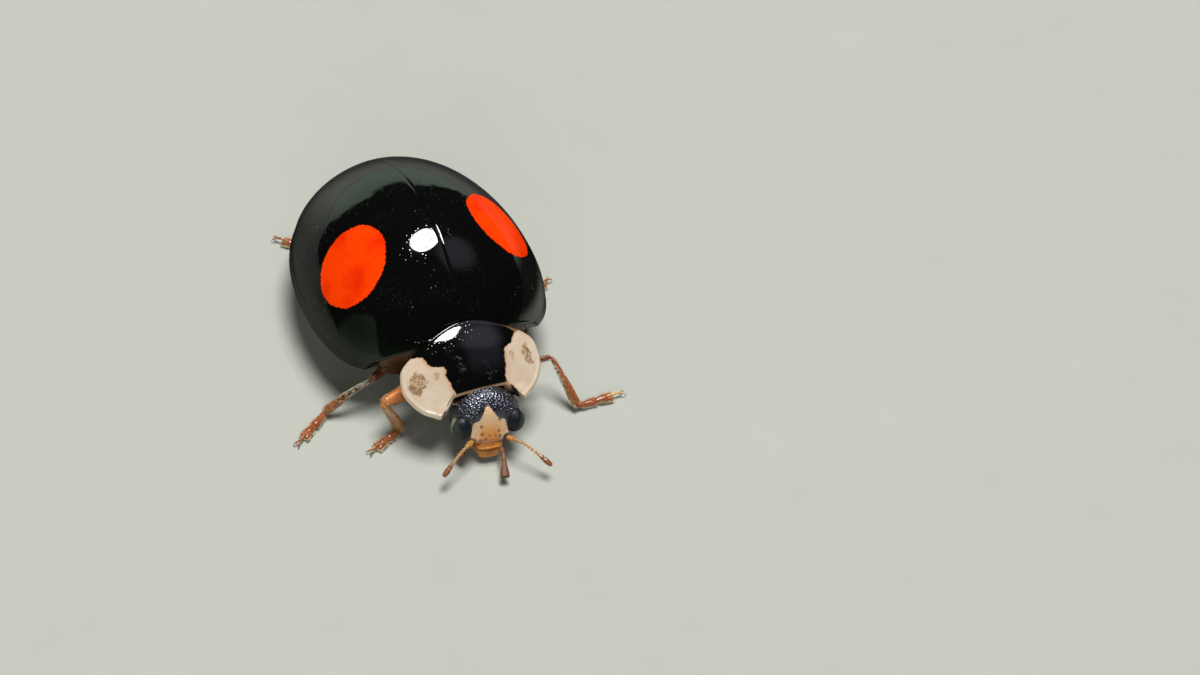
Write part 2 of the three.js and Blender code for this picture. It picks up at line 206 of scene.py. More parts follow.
def loft(part, rings):
    """A closed body through rings (rows, columns, 3), with a point at the middle of each end ring."""
    rows, columns = rings.shape[:2]
    points = np.concatenate([rings.reshape(-1, 3), rings[:1].mean(1), rings[-1:].mean(1)])
    c = np.arange(columns)
    d = (c + 1) % columns
    tip = rows * columns
    start = np.stack([0 * c + tip, d, c], 1)
    end = np.stack([0 * c + tip + 1, tip - columns + c, tip - columns + d], 1)
    return part.add(points, [strip(rows, columns), start, end])


def tube(part, path, wide, tall=None, around=20, rise=None):
    """A limb along a path. wide and tall are its half-thicknesses at each point of the path."""
    _, side, up = frames_along(path, rise)
    tall = wide if tall is None else tall
    turn = turns(around)[:, None]
    across, lift = wide[:, None, None] * np.cos(turn), tall[:, None, None] * np.sin(turn)
    return loft(part, path[:, None] + side[:, None] * across + up[:, None] * lift)


def placed(name, data):
    thing = bpy.data.objects.new(name, data)
    bpy.context.scene.collection.objects.link(thing)
    return thing


def piece(name, part, look, slot, *nodes):
    """Makes the Blender object of a part, on the body, in place of the CAD nodes."""
    points = np.concatenate(part.points) * MM + SHIFT * MM
    corners = np.concatenate([face.ravel() for face in part.faces])
    sizes = np.concatenate([np.full(len(face), face.shape[1]) for face in part.faces])
    mesh = bpy.data.meshes.new(name)
    mesh.vertices.add(len(points))
    mesh.loops.add(len(corners))
    mesh.polygons.add(len(sizes))
    mesh.vertices.foreach_set("co", points.astype(np.float32).ravel())
    mesh.loops.foreach_set("vertex_index", corners.astype(np.int32))
    mesh.polygons.foreach_set("loop_start", (np.cumsum(sizes) - sizes).astype(np.int32))
    mesh.polygons.foreach_set("use_smooth", np.ones(len(sizes), bool))
    mesh.update(calc_edges=True)
    if part.uv is None:
        outward(mesh)
    else:
        layer = mesh.uv_layers.new(name="OFBake")
        layer.data.foreach_set("uv", part.uv[corners].astype(np.float32).ravel())
    mesh.materials.append(LOOKS[look].material)
    thing = placed(name, mesh)
    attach(thing, "root")
    if nodes:
        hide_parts(*nodes)


def outward(mesh):
    """Turns all faces outwards."""
    shape = bmesh.new()
    shape.from_mesh(mesh)
    bmesh.ops.recalc_face_normals(shape, faces=shape.faces)
    shape.to_mesh(mesh)
    shape.free()


# ---- wing cases

SHELL = SimpleNamespace(
    half_width=2.78, widest_y=-0.1, front_y=-2.46, shoulder_y=-2.24, shoulder_x=1.887, virtual_front_y=-2.935,
    margin_z=1.291, crown_z=3.71, crown_y=-0.2, slope_y=-2.238, slope_z=2.541, brim=0.26, brim_power=10,
    front_power=2.4, rear_power=2.1, arch_power=1.95, front_slope_power=2.2, lining=0.45, seam=0.004)
DOME_HALF = SHELL.half_width - SHELL.brim
DOME_REAR = REAR_Y - SHELL.brim


def shell_half(y, inset=0.0):
    s = SHELL
    ahead = closing(y, s.widest_y, s.virtual_front_y + inset, s.front_power)
    behind = closing(y, s.widest_y, DOME_REAR - inset, s.rear_power)
    return (DOME_HALF - inset) * np.where(y < s.widest_y, ahead, behind)


def shell_top(y, inset=0.0):
    s = SHELL
    crown = s.crown_z - inset
    t = np.clip((s.crown_y - y) / (s.crown_y - s.slope_y), 0, None)
    front = crown - (s.crown_z - s.slope_z) * t ** s.front_slope_power
    rear = s.margin_z + (crown - s.margin_z) * closing(y, s.crown_y, DOME_REAR - inset, s.rear_power)
    return np.where(y > s.crown_y, rear, front)


def shell_height(x, y, inset=0.0):
    """The dome's height over a place in plan."""
    s = SHELL
    across = np.clip(np.abs(x) / np.maximum(shell_half(y, inset), 1e-6), 0, 1)
    arch = (1 - across ** s.arch_power) ** (1 / s.arch_power)
    return s.margin_z + (shell_top(y, inset) - s.margin_z) * arch


def front_edge(x):
    """Where the wing cases' front edge lies, which bows forwards between the shoulders."""
    s = SHELL
    return s.front_y + (s.shoulder_y - s.front_y) * (np.abs(x) / s.shoulder_x) ** 4


def brimmed(points):
    """Adds the flange that runs round the foot of the dome, and tells which way is out."""
    s = SHELL
    length = DOME_REAR - s.widest_y
    x, y, _ = apart(points)
    along = np.maximum(y - s.widest_y, 0) / length
    across = np.where(along > 0, x / DOME_HALF, x / np.maximum(shell_half(y), 1e-6))
    near = np.clip((np.abs(across) ** s.rear_power + along ** s.rear_power) ** (1 / s.rear_power), 0, 1)
    out = unit(xyz(across / DOME_HALF, along / length, 0) + 1e-9)
    return points + out * (s.brim * near ** s.brim_power)[..., None], out


def dome(rows, columns, inset):
    """Half the dome, or half its lining, without the flange."""
    s = SHELL
    bearing, power = np.linspace(0, math.pi / 2, 400), 2 / s.rear_power
    side_y = np.linspace(s.shoulder_y, s.widest_y, 200)
    rear_y = s.widest_y + (DOME_REAR - inset - s.widest_y) * np.sin(bearing) ** power
    side = xyz(shell_half(side_y, inset), side_y, 0)
    rear = xyz((DOME_HALF - inset) * np.cos(bearing) ** power, rear_y, 0)
    margin = resample(np.concatenate([side, rear[1:]]), rows)
    margin[:, 0] = np.maximum(margin[:, 0], s.seam)
    middle = xyz(s.seam, s.front_y + (1.5 - s.front_y) * rows, 0)
    plan = middle[:, None] + (margin - middle)[:, None] * np.sin(columns * math.pi / 2)[:, None]
    x, y, z = apart(plan)
    # the front edge runs straight under the pronotum and turns back to the shoulder
    bent = front_edge(x[0] * s.shoulder_x / x[0, -1])
    y += np.clip(1 - rows / 0.25, 0, 1)[:, None] ** 2 * (bent - y[0])
    # the case thins out towards its front edge
    thin = np.clip(inset * (0.16 + 0.84 * smooth_step(0.0, 0.1, rows)), 0, inset)[:, None]
    x *= 1 + (inset - thin) / 2.2
    z[:] = shell_height(x, y, thin)
    return plan


SHOULDER = (1.75, -1.75)  # where a wing case swells
FRONT_ROLL = (0.07, 0.03)  # how far the front edge is rolled under, and back
# the rolled margin: how far it lies below the edge and inside it
MARGIN_ROLL = [(0.022, -0.012), (0.045, -0.008), (0.062, 0.02), (0.066, 0.09), (0.05, 0.2), (0.04, 0.36),
               (0.03, 0.52)]


def elytron(side):
    """One wing case: rows run from the shoulder round to the tip, columns from suture to margin."""
    s = SHELL
    rows = np.concatenate([np.linspace(0, 0.03, 6), np.linspace(0.03, 0.985, 120)[1:],
                           [0.991, 0.996, 0.999, 1.0]])
    columns = np.concatenate([[0, 0.003, 0.007, 0.012], np.linspace(0.02, 0.84, 76),
                              np.linspace(0.84, 1, 40)[1:]])
    outer, out = brimmed(dome(rows, columns, 0.0))
    x, y, z = apart(outer)
    y += np.clip(1 - rows / 0.12, 0, 1)[:, None] ** 2 * (front_edge(x[0]) - y[0])
    outer -= out * (0.02 * hump(z - s.margin_z - 0.16, 0.09))[..., None]
    z -= 0.012 * hump(x - s.seam, 0.02)
    z += 0.05 * hump(x - SHOULDER[0], 0.4) * hump(y - SHOULDER[1], 0.35)
    turned = [outer[:, -1] - out[:, -1] * draw - UP * drop for drop, draw in MARGIN_ROLL]
    rings = np.concatenate([outer, np.stack(turned, 1), dome(rows, columns, s.lining)[:, ::-1]], 1)
    # the front edge is rolled under
    lead = rings[0]
    along = np.roll(lead, -1, 0) - np.roll(lead, 1, 0)
    normal = unit(xyz(along[:, 2], 0, -along[:, 0]))
    normal *= np.sign(normal[40, 2])
    under, back = FRONT_ROLL
    rolled = [lead - normal * under * (1 - math.cos(angle)) - [0, back * math.sin(angle), 0]
              for angle in np.radians([85, 60, 35, 15])]
    rings = np.concatenate([np.stack(rolled), rings])
    rings[..., 0] = np.maximum(rings[..., 0], s.seam)
    n, m = rings.shape[:2]
    far = len(columns) + len(MARGIN_ROLL)
    i, j = np.arange(len(columns) - 1), np.arange(len(columns) - 1, far - 1)
    cap = np.stack([i, i + 1, m - 2 - i, m - 1 - i], 1)
    fan = np.stack([j, j + 1, 0 * j + far], 1)
    end = (n - 1) * m
    return Part().add(rings * [side, 1, 1], [strip(n, m), cap[:, ::-1], fan[:, ::-1], cap + end, fan + end])


# ---- the body under the wing cases

BELLY = SimpleNamespace(bottom_z=0.86, front_y=-2.43, waist_y=-0.42, inset=0.48)
BELLY_PLATES = [-0.42, 0.28, 0.82, 1.3, 1.74, 2.14, 2.6]  # where each begins and the last ends
COLLAR = SimpleNamespace(front_y=-2.2, rear_y=-1.85, depth=0.1, deeper=0.25, drop=0.35)
SCUTELLUM = SimpleNamespace(half_width=0.28, front_y=-2.36, length=0.46)


def bend(value, power):
    """Takes a circle's sine or cosine to a rounder or squarer arch's."""
    return np.sign(value) * np.abs(value) ** (2 / power)


def arched(part, columns, half, top, seat, bottom, power, y, shape):
    """A body of sections across it at each y. An upper and a lower arch meet at the seat's height, and
    shape(x, y, z, lift) moves the points."""
    lift = np.cos(turns(columns))
    half, top, bottom, y = (np.reshape(values, (-1, 1)) for values in (half, top, bottom, y))
    z = seat + np.where(lift > 0, top - seat, seat - bottom) * bend(lift, power)
    rings = xyz(half * bend(np.sin(turns(columns)), power), y, z)
    shape(*apart(rings), lift)
    return loft(part, rings)


def trunk(y, shape):
    s, inset = SHELL, BELLY.inset
    end = np.where(y < s.widest_y, s.virtual_front_y + inset, DOME_REAR - inset)
    bottom = s.margin_z - (s.margin_z - BELLY.bottom_z) * closing(y, s.widest_y, end, 2)
    half = np.maximum(shell_half(y, inset), 0.02)
    top = np.maximum(shell_top(y, inset), s.margin_z + 0.01)
    return arched(Part(), 120, half, top, s.margin_z, bottom, 2.0, y, shape)


def abdomen():
    """Six belly plates, each with its hind edge lapping over the next."""
    def plates(x, y, z, lift):
        back = y + 0.1 * (x / 1.6) ** 2
        for low, high in zip(BELLY_PLATES, BELLY_PLATES[1:]):
            t = np.clip((back - low) / (high - low), 0, 1)
            inside = (back >= low) & (back < high) & (lift < 0)
            z -= inside * 0.045 * (t ** 2 - 0.4) * np.abs(lift) ** 0.5

    front = BELLY.waist_y + 0.01
    return trunk(front + (DOME_REAR - BELLY.inset - front) * np.sin(np.linspace(0, math.pi / 2, 150)), plates)


def thorax():
    """The hind body's breastplate, with the side pieces that show in front of the wing cases."""
    def plates(x, y, z, lift):
        groove = 0.05 * hump(x, 0.04) * smooth_step(-1.5, -1.2, y)
        seam = 0.04 * hump(y + 1.35 - 0.12 * np.cos(x * 3), 0.03)
        side = 0.04 * hump(np.abs(x) - 1.35 - 0.1 * y, 0.03)
        z += (groove + seam + side) * np.sqrt(np.clip(-lift, 0, 1))

    part = trunk(np.linspace(BELLY.front_y, BELLY.waist_y, 90), plates)
    # the collar that fills the wing cases' front opening
    ahead = np.linspace(1, 0, 12)
    depth = COLLAR.depth + COLLAR.deeper * (1 - ahead) ** 2
    collar_y = np.linspace(COLLAR.front_y, COLLAR.rear_y, 12)
    seat = SHELL.margin_z

    def follow(x, y, z, lift):
        y += ahead[:, None] * (front_edge(x) + 0.035 - COLLAR.front_y)
        height = np.minimum(shell_height(x, y, depth[:, None]), seat + (z - seat) * 2)
        z[:] = np.where(lift > 0, height, z)

    half, top = shell_half(collar_y, depth), shell_top(collar_y, depth)
    return arched(part, 160, half, top, seat, seat - COLLAR.drop, SHELL.arch_power, collar_y, follow)


def scutellum():
    """The small triangle between the wing cases' bases."""
    along = np.linspace(0, 1, 24)[:, None]
    across = np.concatenate([np.linspace(-1, 1, 21), np.linspace(1, -1, 11)])
    x = (SCUTELLUM.half_width * (1 - along) ** 0.85 + 0.006) * across
    y = SCUTELLUM.front_y + SCUTELLUM.length * along
    z = shell_height(x, y) - 0.02 + 0.026 * np.sqrt(np.clip(1 - across ** 6, 0, 1))
    z[:, 21:] = shell_height(0, y) - 0.2
    return loft(Part(), xyz(x, y, z))


# ---- pronotum and prothorax

PRONOTUM = SimpleNamespace(
    centre_y=-3.1, hind_z=2.508, hind_y=-2.3, slope=0.7157, side_drop=0.4265, drop_width=1.8, drop_power=2.2,
    crown=0.2, crown_y=-3.02, crown_reach=0.69, crown_soft=0.45, rim=0.055, depth=0.42)
PRONOTUM_OUTLINE = [
    (0, -3.69), (0.4, -3.67), (0.7, -3.7), (0.95, -3.94), (1.2, -3.83), (1.45, -3.62), (1.63, -3.32),
    (1.65, -3.1), (1.58, -2.88), (1.36, -2.77), (1.05, -2.68), (0.6, -2.53), (0.25, -2.44), (0, -2.42)]


def pronotum_top(x, y):
    p = PRONOTUM
    along, across = (y - p.crown_y) / p.crown_reach, x / p.drop_width
    end = math.hypot(1, p.crown_soft)
    ridge = (end - np.hypot(along, p.crown_soft)) / (end - p.crown_soft)
    crown = np.maximum(ridge, 0) * np.maximum(1 - across ** 2, 0)
    drop = p.side_drop * np.abs(across) ** p.drop_power
    return p.hind_z + p.slope * (y - p.hind_y) - drop + p.crown * crown


def pronotum():
    """The shield: a domed plate with a beaded rim, deeper in the middle."""
    p = PRONOTUM
    whole = PRONOTUM_OUTLINE + [(-x, y) for x, y in PRONOTUM_OUTLINE[-2:0:-1]] + PRONOTUM_OUTLINE[:1]
    x, y, _ = apart(spline(xyz(*np.transpose(whole), 0), 900)[:-1])
    y = y - p.centre_y
    spots, quads, edge = disc(110)
    turn, far = np.arctan2(spots[:, 1], spots[:, 0]), np.hypot(spots[:, 0], spots[:, 1])
    span = np.interp(turn, np.arctan2(y, x), np.hypot(x, y), period=TURN)
    x, y = far * span * np.cos(turn), p.centre_y + far * span * np.sin(turn)
    inward = (1 - far) * span
    bead = 0.012 * hump(inward - 0.03, 0.03) - 0.008 * hump(inward - 0.1, 0.04)
    bead *= 0.25 + 0.75 * smooth_step(0.75, 1.2, np.abs(x))
    rounding = 0.03 * (1 - np.clip(inward / 0.03, 0, 1)) ** 2
    top = pronotum_top(x, y)
    above = xyz(x, y, top + bead - rounding)
    below = xyz(x, y, top - p.rim - (p.depth - p.rim) * np.sqrt(np.clip(1 - far, 0, 1)))
    out = xyz(np.cos(turn), np.sin(turn), 0)[edge] * 0.012
    sides = [above[edge] * (1 - drop) + below[edge] * drop + out for drop in (0.3, 0.6)]
    count, loop = len(above), np.arange(len(edge))
    ids = [edge, 2 * count + loop, 2 * count + len(edge) + loop, count + edge]
    faces = [quads, quads[:, ::-1] + count]
    for a, b in zip(ids, ids[1:]):
        faces.append(np.stack([a, b, np.roll(b, -1), np.roll(a, -1)], 1))
    return Part().add(np.concatenate([above, below] + sides), faces)


def prothorax():
    """The body under the pronotum, that carries the head and the front legs."""
    front_y, middle_y, hind_y, rear_y, seat = -3.85, -2.8, -2.445, -1.64, 1.3
    y = np.linspace(front_y, hind_y, 70)
    closed = closing(y, middle_y, np.where(y < middle_y, front_y, rear_y), 2.5)
    waist = 1 - 0.4 * smooth_step(-2.75, hind_y, y) ** 2  # the hind edge is drawn up to the waist

    def plates(x, y, z, lift):
        keel = 0.03 * hump(np.abs(x) - 0.24, 0.04) - 0.05 * hump(x, 0.12)
        fold = 0.03 * hump(np.abs(x) - 0.72, 0.03)
        z += np.sqrt(np.clip(-lift, 0, 1)) * (keel + fold) * smooth_step(-3.8, -3.4, y)

    top = np.maximum(pronotum_top(0, y) - 0.34, seat + 0.01)
    bottom = seat + (0.74 - seat) * closed * waist
    return arched(Part(), 100, np.maximum(1.12 * closed, 0.02), top, seat, bottom, 2.2, y, plates)


# ---- head

FACE_TILT, FACE_TURN = 0.4, -0.124  # how far the face leans back, and is turned to the right
HEAD_CENTRE = np.array([0.09, -3.86, 0.95])
AHEAD, ASIDE = math.cos(FACE_TURN), math.sin(FACE_TURN)
HEAD_AXES = np.array([
    [AHEAD, ASIDE, 0],
    [-ASIDE * math.sin(FACE_TILT), AHEAD * math.sin(FACE_TILT), math.cos(FACE_TILT)],
    [ASIDE * math.cos(FACE_TILT), -AHEAD * math.cos(FACE_TILT), math.sin(FACE_TILT)]])
HEAD_SIZE, HEAD_POWER = (0.8, 0.62, 0.46), 2.4
EYE_PLACE, EYE_SIZE = (0.6, -0.17, 0.25), (0.25, 0.29, 0.26)
SOCKET = (0.41, -0.52)  # where an antenna leaves the face
PUNCTURES, PUNCTURE_WIDTH, PUNCTURE_DEPTH = 1500, 0.02, 0.013


def on_head(place, side=1):
    return HEAD_CENTRE + np.array([place[0] * side, *place[1:]]) @ HEAD_AXES


def pebble(part, centre, size, power, rows, columns, shape=lambda local: local):
    """A rounded block on the head's axes; shape(local) may move its points."""
    return loft(part, centre + shape(block(ball(rows, columns), size, power)) @ HEAD_AXES)


def face_form(p):
    """The crown slopes down towards the eyes, and the face keeps its depth down to the mouth."""
    u, v, w = apart(p / HEAD_SIZE)
    low = np.clip(-v, 0, 1)
    ring = np.maximum((1 - low ** HEAD_POWER) ** (1 / HEAD_POWER), 1e-3)
    ahead = np.clip(w / ring, 0, 1) ** 2
    w = np.where(w > 0, w * (1 + ahead * ((1 - low ** 7) ** (1 / 7) / ring - 1)), w)
    v = v * (1 + 0.15 * ahead * smooth_step(0, 0.5, low)) - 0.35 * u ** 2 * np.clip(v, 0, 1)
    return xyz(u, v, w) * HEAD_SIZE


def head():
    """The head capsule, with brows, eye rims, antenna sockets and punctures."""
    punctures = face_form(block(scattered(PUNCTURES), HEAD_SIZE, HEAD_POWER))

    def face(p):
        p = face_form(p)
        a, b, c = apart(p)
        ahead = np.clip(c / HEAD_SIZE[2], 0, 1)
        rise = -0.02 * hump(a, 0.22) * hump(b - 0.4, 0.14)
        for side in (-1, 1):
            eye = np.hypot((a - side * EYE_PLACE[0]) / 0.28, (b - EYE_PLACE[1]) / 0.33)
            pit = np.hypot(a - side * SOCKET[0], b - SOCKET[1])
            rise += 0.018 * hump(eye - 1.0, 0.09)
            rise -= 0.012 * hump(eye - 1.32, 0.16) * (side * a < EYE_PLACE[0])
            rise += 0.05 * hump(a - side * 0.42, 0.22) * hump(b - 0.15, 0.18)
            rise += 0.02 * hump(pit - 0.13, 0.035) - 0.06 * hump(pit, 0.08)
        frons = np.exp(-(a / 0.4) ** 4 - ((b + 0.2) / 0.45) ** 4) * ahead
        deep = PUNCTURE_DEPTH * hump(nearest(p, punctures), PUNCTURE_WIDTH) * (1 - 0.85 * frons)
        return p + unit(p / np.square(HEAD_SIZE)) * (rise * ahead - deep)[..., None]

    return pebble(Part(), HEAD_CENTRE, HEAD_SIZE, HEAD_POWER, 210, 320, face)


def plate(place, size, *ridges):
    """A lip of the mouth: a rounded block with ridges across it."""
    def ridged(p):
        a, b, c = apart(p)
        rise = sum(height * hump(b - level, width) for level, height, width in ridges)
        return xyz(a, b, c + rise * np.clip(c / size[2], 0, 1))
    return pebble(Part(), on_head(place), size, 2.8, 60, 90, ridged)


MANDIBLE = [(0.29, -0.6, 0.1), (0.3, -0.76, 0.14), (0.2, -0.9, 0.16), (0.05, -0.93, 0.16)]
LIP_FEELER = [(0.1, -0.74, -0.05), (0.13, -0.84, 0.02), (0.1, -0.95, 0.05)]


def mouthparts():
    """The chin, two hooked mandibles under the upper lip, and the lower lip's short feelers."""
    part = pebble(Part(), on_head((0, -0.68, -0.04)), (0.38, 0.2, 0.24), 2.4, 30, 40)
    for side in (-1, 1):
        s = np.linspace(0, 1, 26)
        ends = rounded(s, 0.1, 0.1)
        path = spline([on_head(place, side) for place in MANDIBLE], 26)
        tube(part, path, 0.085 * (1 - 0.6 * s) * ends, 0.07 * (1 - 0.5 * s) * ends, 16)
        s = np.linspace(0, 1, 20)
        path = spline([on_head(place, side) for place in LIP_FEELER], 20)
        tube(part, path, 0.035 * rounded(s, 0.2, 0.2) * (1 - 0.25 * hump(s - 0.5, 0.06)), around=12)
    return part


# ---- feelers and palps

ANTENNAE = {
    "left": [(0.42, -4.46, 0.62), (0.72, -4.85, 0.66), (1.13, -5.4, 0.42)],
    "right": [(-0.38, -4.36, 0.64), (-0.78, -4.62, 0.66), (-1.3, -4.96, 0.45)],
}
PALPS = {
    "left": [(0.24, -4.3, 0.42), (0.24, -4.7, 0.42), (0.08, -5.25, 0.24)],
    "right": [(-0.26, -4.2, 0.42), (-0.5, -4.3, 0.4), (-0.68, -4.42, 0.3)],
}
# share of the length, half-thickness at the base and at the tip of each of the eleven joints
ANTENNA_JOINTS = [(0.13, 0.055, 0.088), (0.08, 0.042, 0.066), (0.1, 0.017, 0.056), (0.08, 0.017, 0.056),
                  (0.08, 0.017, 0.057), (0.075, 0.017, 0.058), (0.07, 0.018, 0.06), (0.065, 0.02, 0.064),
                  (0.085, 0.034, 0.074), (0.085, 0.05, 0.082), (0.12, 0.068, 0.046)]
PALP_JOINTS = [(0.12, 0.05, 0.055), (0.28, 0.045, 0.062), (0.2, 0.045, 0.065), (0.4, 0.06, 0.105)]


def beads(knots, joints, flat, hatchet=False):
    """A chain of joints along a curve, each narrowing to its neighbours. The last one may be a hatchet."""
    part, whole = Part(), spline(knots, 400)
    total, start = sum(joint[0] for joint in joints), 0.0
    s = np.linspace(0, 1, 24)
    for share, base, tip in joints:
        end = start + share / total
        path = resample(whole, np.clip(start + (end - start) * (s * 1.1 - 0.05), 0, 1))
        wide = (base + (tip - base) * s ** 1.5) * rounded(s, 0.15, 0.2)
        if hatchet and share == joints[-1][0]:
            wide = (base + (tip - base) * smooth_step(0.1, 0.9, s)) * rounded(s, 0.2, 0.08)
        tube(part, path, wide, wide * flat, 18)
        start = end
    return part


# ---- legs

# hip, knee, ankle and the tip of the claws
LEGS = {
    "front_left": [(0.55, -2.75, 0.85), (2.14, -2.9, 1.02), (2.5, -3.76, 0.2), (3.74, -3.68, 0)],
    "front_right": [(-0.55, -2.6, 0.85), (-2.04, -3.02, 1.06), (-1.57, -3.13, 0.22), (-2.5, -3.54, 0)],
    "middle_left": [(0.6, -1.35, 0.66), (2.15, -1.25, 0.95), (2.68, -0.36, 0.22), (3.52, 0.1, 0)],
    "middle_right": [(-0.6, -1.35, 0.66), (-1.99, -2.24, 0.98), (-2.98, -2.15, 0.24), (-3.94, -2.82, 0)],
    "hind_left": [(0.6, -0.25, 0.66), (2.05, 0.75, 0.93), (2.35, 2.0, 0.22), (2.45, 2.95, 0)],
    "hind_right": [(-0.6, -0.25, 0.66), (-1.95, 1.15, 0.93), (-1.45, 2.62, 0.22), (-2.18, 3.27, 0)],
}
# where a leg isn't like the others: the looks of its femur, tibia and claws, how thick its femur and
# tibia are as shares of the usual, the tibia's half-thickness at the knee, and the tibia's hairs
# the darker femur and tibia looks are copies with painted shade, for legs in shadow, and the front right's
# pale tibia is a copy with painted light
LEG_LOOKS = {"front_left": ("femur_painted_shade", "tibia", "claw_pale"),
             "front_right": ("femur", "tibia_painted_light", "claw"),
             "middle_right": ("femur_brown", "tibia_painted_shade", "claw"),
             "hind_right": ("femur_painted_shade", "tibia_painted_shade", "claw")}
STOUT = {"front_left": (0.58, 0.95), "front_right": (1.15, 1.1), "middle_right": (0.9, 0.92)}
SLIM = {"front_right": 0.085, "middle_right": 0.05}
HAIRY = {"front_right": 110, "middle_right": 480}

# a foot's joints: knots (share of its reach, height, how far aside), half-thickness at the base and
# the tip, and flatness
PADS = [
    ([(-0.03, 0.16, 0), (0.16, 0.13, 0), (0.42, 0.11, 0)], 0.055, 0.094, 0.85),
    ([(0.34, 0.12, 0), (0.48, 0.12, 0), (0.63, 0.11, 0)], 0.055, 0.098, 0.8),
    ([(0.52, 0.11, -0.028), (0.63, 0.1, -0.042), (0.74, 0.085, -0.05)], 0.055, 0.06, 0.9),
    ([(0.52, 0.11, 0.028), (0.63, 0.1, 0.042), (0.74, 0.085, 0.05)], 0.055, 0.06, 0.9)]
CLAW_JOINT = [
    ([(0.56, 0.14, 0), (0.64, 0.155, 0), (0.71, 0.15, 0)], 0.022, 0.028, 1.0),
    ([(0.66, 0.15, 0), (0.78, 0.155, 0), (0.9, 0.125, 0)], 0.02, 0.03, 1.0)]
HOOK = [(0.88, 0.13, 0.008), (0.935, 0.125, 0.04), (0.985, 0.07, 0.065), (0.995, 0.014, 0.058)]
TOOTH = [(0.905, 0.125, 0.022), (0.935, 0.095, 0.026), (0.94, 0.06, 0.02)]

HEEL_Z, SOLE_Z = 0.17, 0.004

# how deep a hair is rooted, how far it bends, how much their leans differ, and its patch's size
ROOTED, BENT, UNEVEN, PATCH_SIZE = 0.006, 0.12, 0.12, 0.0015
# corner and size of each kind of hair's region of the map
FEMUR_MAP, TIBIA_MAP = (0.02, 0.02, 0.6, 0.28), (0.02, 0.33, 0.6, 0.3)
FOOT_MAP, SOLE_MAP = (0.02, 0.66, 0.4, 0.3), (0.45, 0.66, 0.4, 0.3)


class Coat:
    """Fine hairs gathered into one mesh, each with its own small patch of the map."""

    def __init__(self):
        self.hairs = []

    def add(self, limb, count, length, thick, region, lie, low, high, arc=None):
        """Hairs between two shares of a limb's length, leaning along it by lie. They grow all round, or
        about a bearing with a spread when arc is set. A limb is its path and its half-thicknesses."""
        path = limb[0]
        s = RANDOM.uniform(low, high, count)
        turn = RANDOM.normal(*arc, count) if arc else RANDOM.uniform(0, TURN, count)
        at = s * (len(path) - 1)
        i = np.minimum(at.astype(int), len(path) - 2)
        share = (at - i)[:, None]
        here = [values.reshape(len(path), -1) for values in (*frames_along(path, UP), *limb)]
        tangent, side, up, centre, wide, tall = (v[i] * (1 - share) + v[i + 1] * share for v in here)
        c, n = np.cos(turn)[:, None], np.sin(turn)[:, None]
        normal = unit(side * c * tall + up * n * wide)
        root = centre + side * c * wide + up * n * tall - normal * ROOTED
        lean = unit(normal * (1 - lie) + tangent * lie + RANDOM.normal(0, UNEVEN, (count, 3)))
        lengths = length * RANDOM.uniform(0.65, 1.15, count)
        u, v = region[0] + region[2] * s, region[1] + region[3] * (turn % TURN) / TURN
        self.hairs.append(np.column_stack([root, lean, normal, lengths, np.full(count, thick), u, v]))

    def part(self):
        """Each hair is a bent spike of seven points on a three-sided foot."""
        columns = np.concatenate(self.hairs)
        root, lean, normal, length, thick, spot = np.split(columns, [3, 6, 9, 10, 11], 1)
        side = unit(np.cross(lean, normal) + 1e-6)
        other = np.cross(lean, side)
        points, uv = [], []
        for share, width in ((0.0, 1.0), (0.5, 0.7)):
            centre = root + lean * length * share + normal * length * BENT * math.sin(math.pi * share)
            for angle in turns(3):
                c, n = math.cos(angle), math.sin(angle)
                points.append(centre + (side * c + other * n) * thick * width)
                uv.append(spot + PATCH_SIZE * np.array([c, n]) * width)
        points = np.stack(points + [root + lean * length], 1)
        points[..., 2] = np.maximum(points[..., 2], 0.003)
        base = 7 * np.arange(len(root))[:, None]
        sides = [(k, (k + 1) % 3) for k in range(3)]
        quads = np.concatenate([base + [k, d, 3 + d, 3 + k] for k, d in sides])
        tris = np.concatenate([base + [3 + k, 3 + d, 6] for k, d in sides] + [base + [2, 1, 0]])
        return Part().add(points, [quads, tris], np.stack(uv + [spot], 1).reshape(-1, 2))


def bowed(start, end, lift):
    """A line from start to end that bows upwards."""
    s = np.linspace(0, 1, 60)[:, None]
    middle = (start + end) / 2 + UP * lift
    return start * (1 - s) ** 2 + 2 * middle * s * (1 - s) + end * s ** 2


def spine(part, knots, count, base, tip, ends, around=10):
    """A spur or a claw, tapering along a curve."""
    s = np.linspace(0, 1, count)
    tube(part, spline(knots, count), (base + (tip - base) * s) * rounded(s, *ends), around=around)


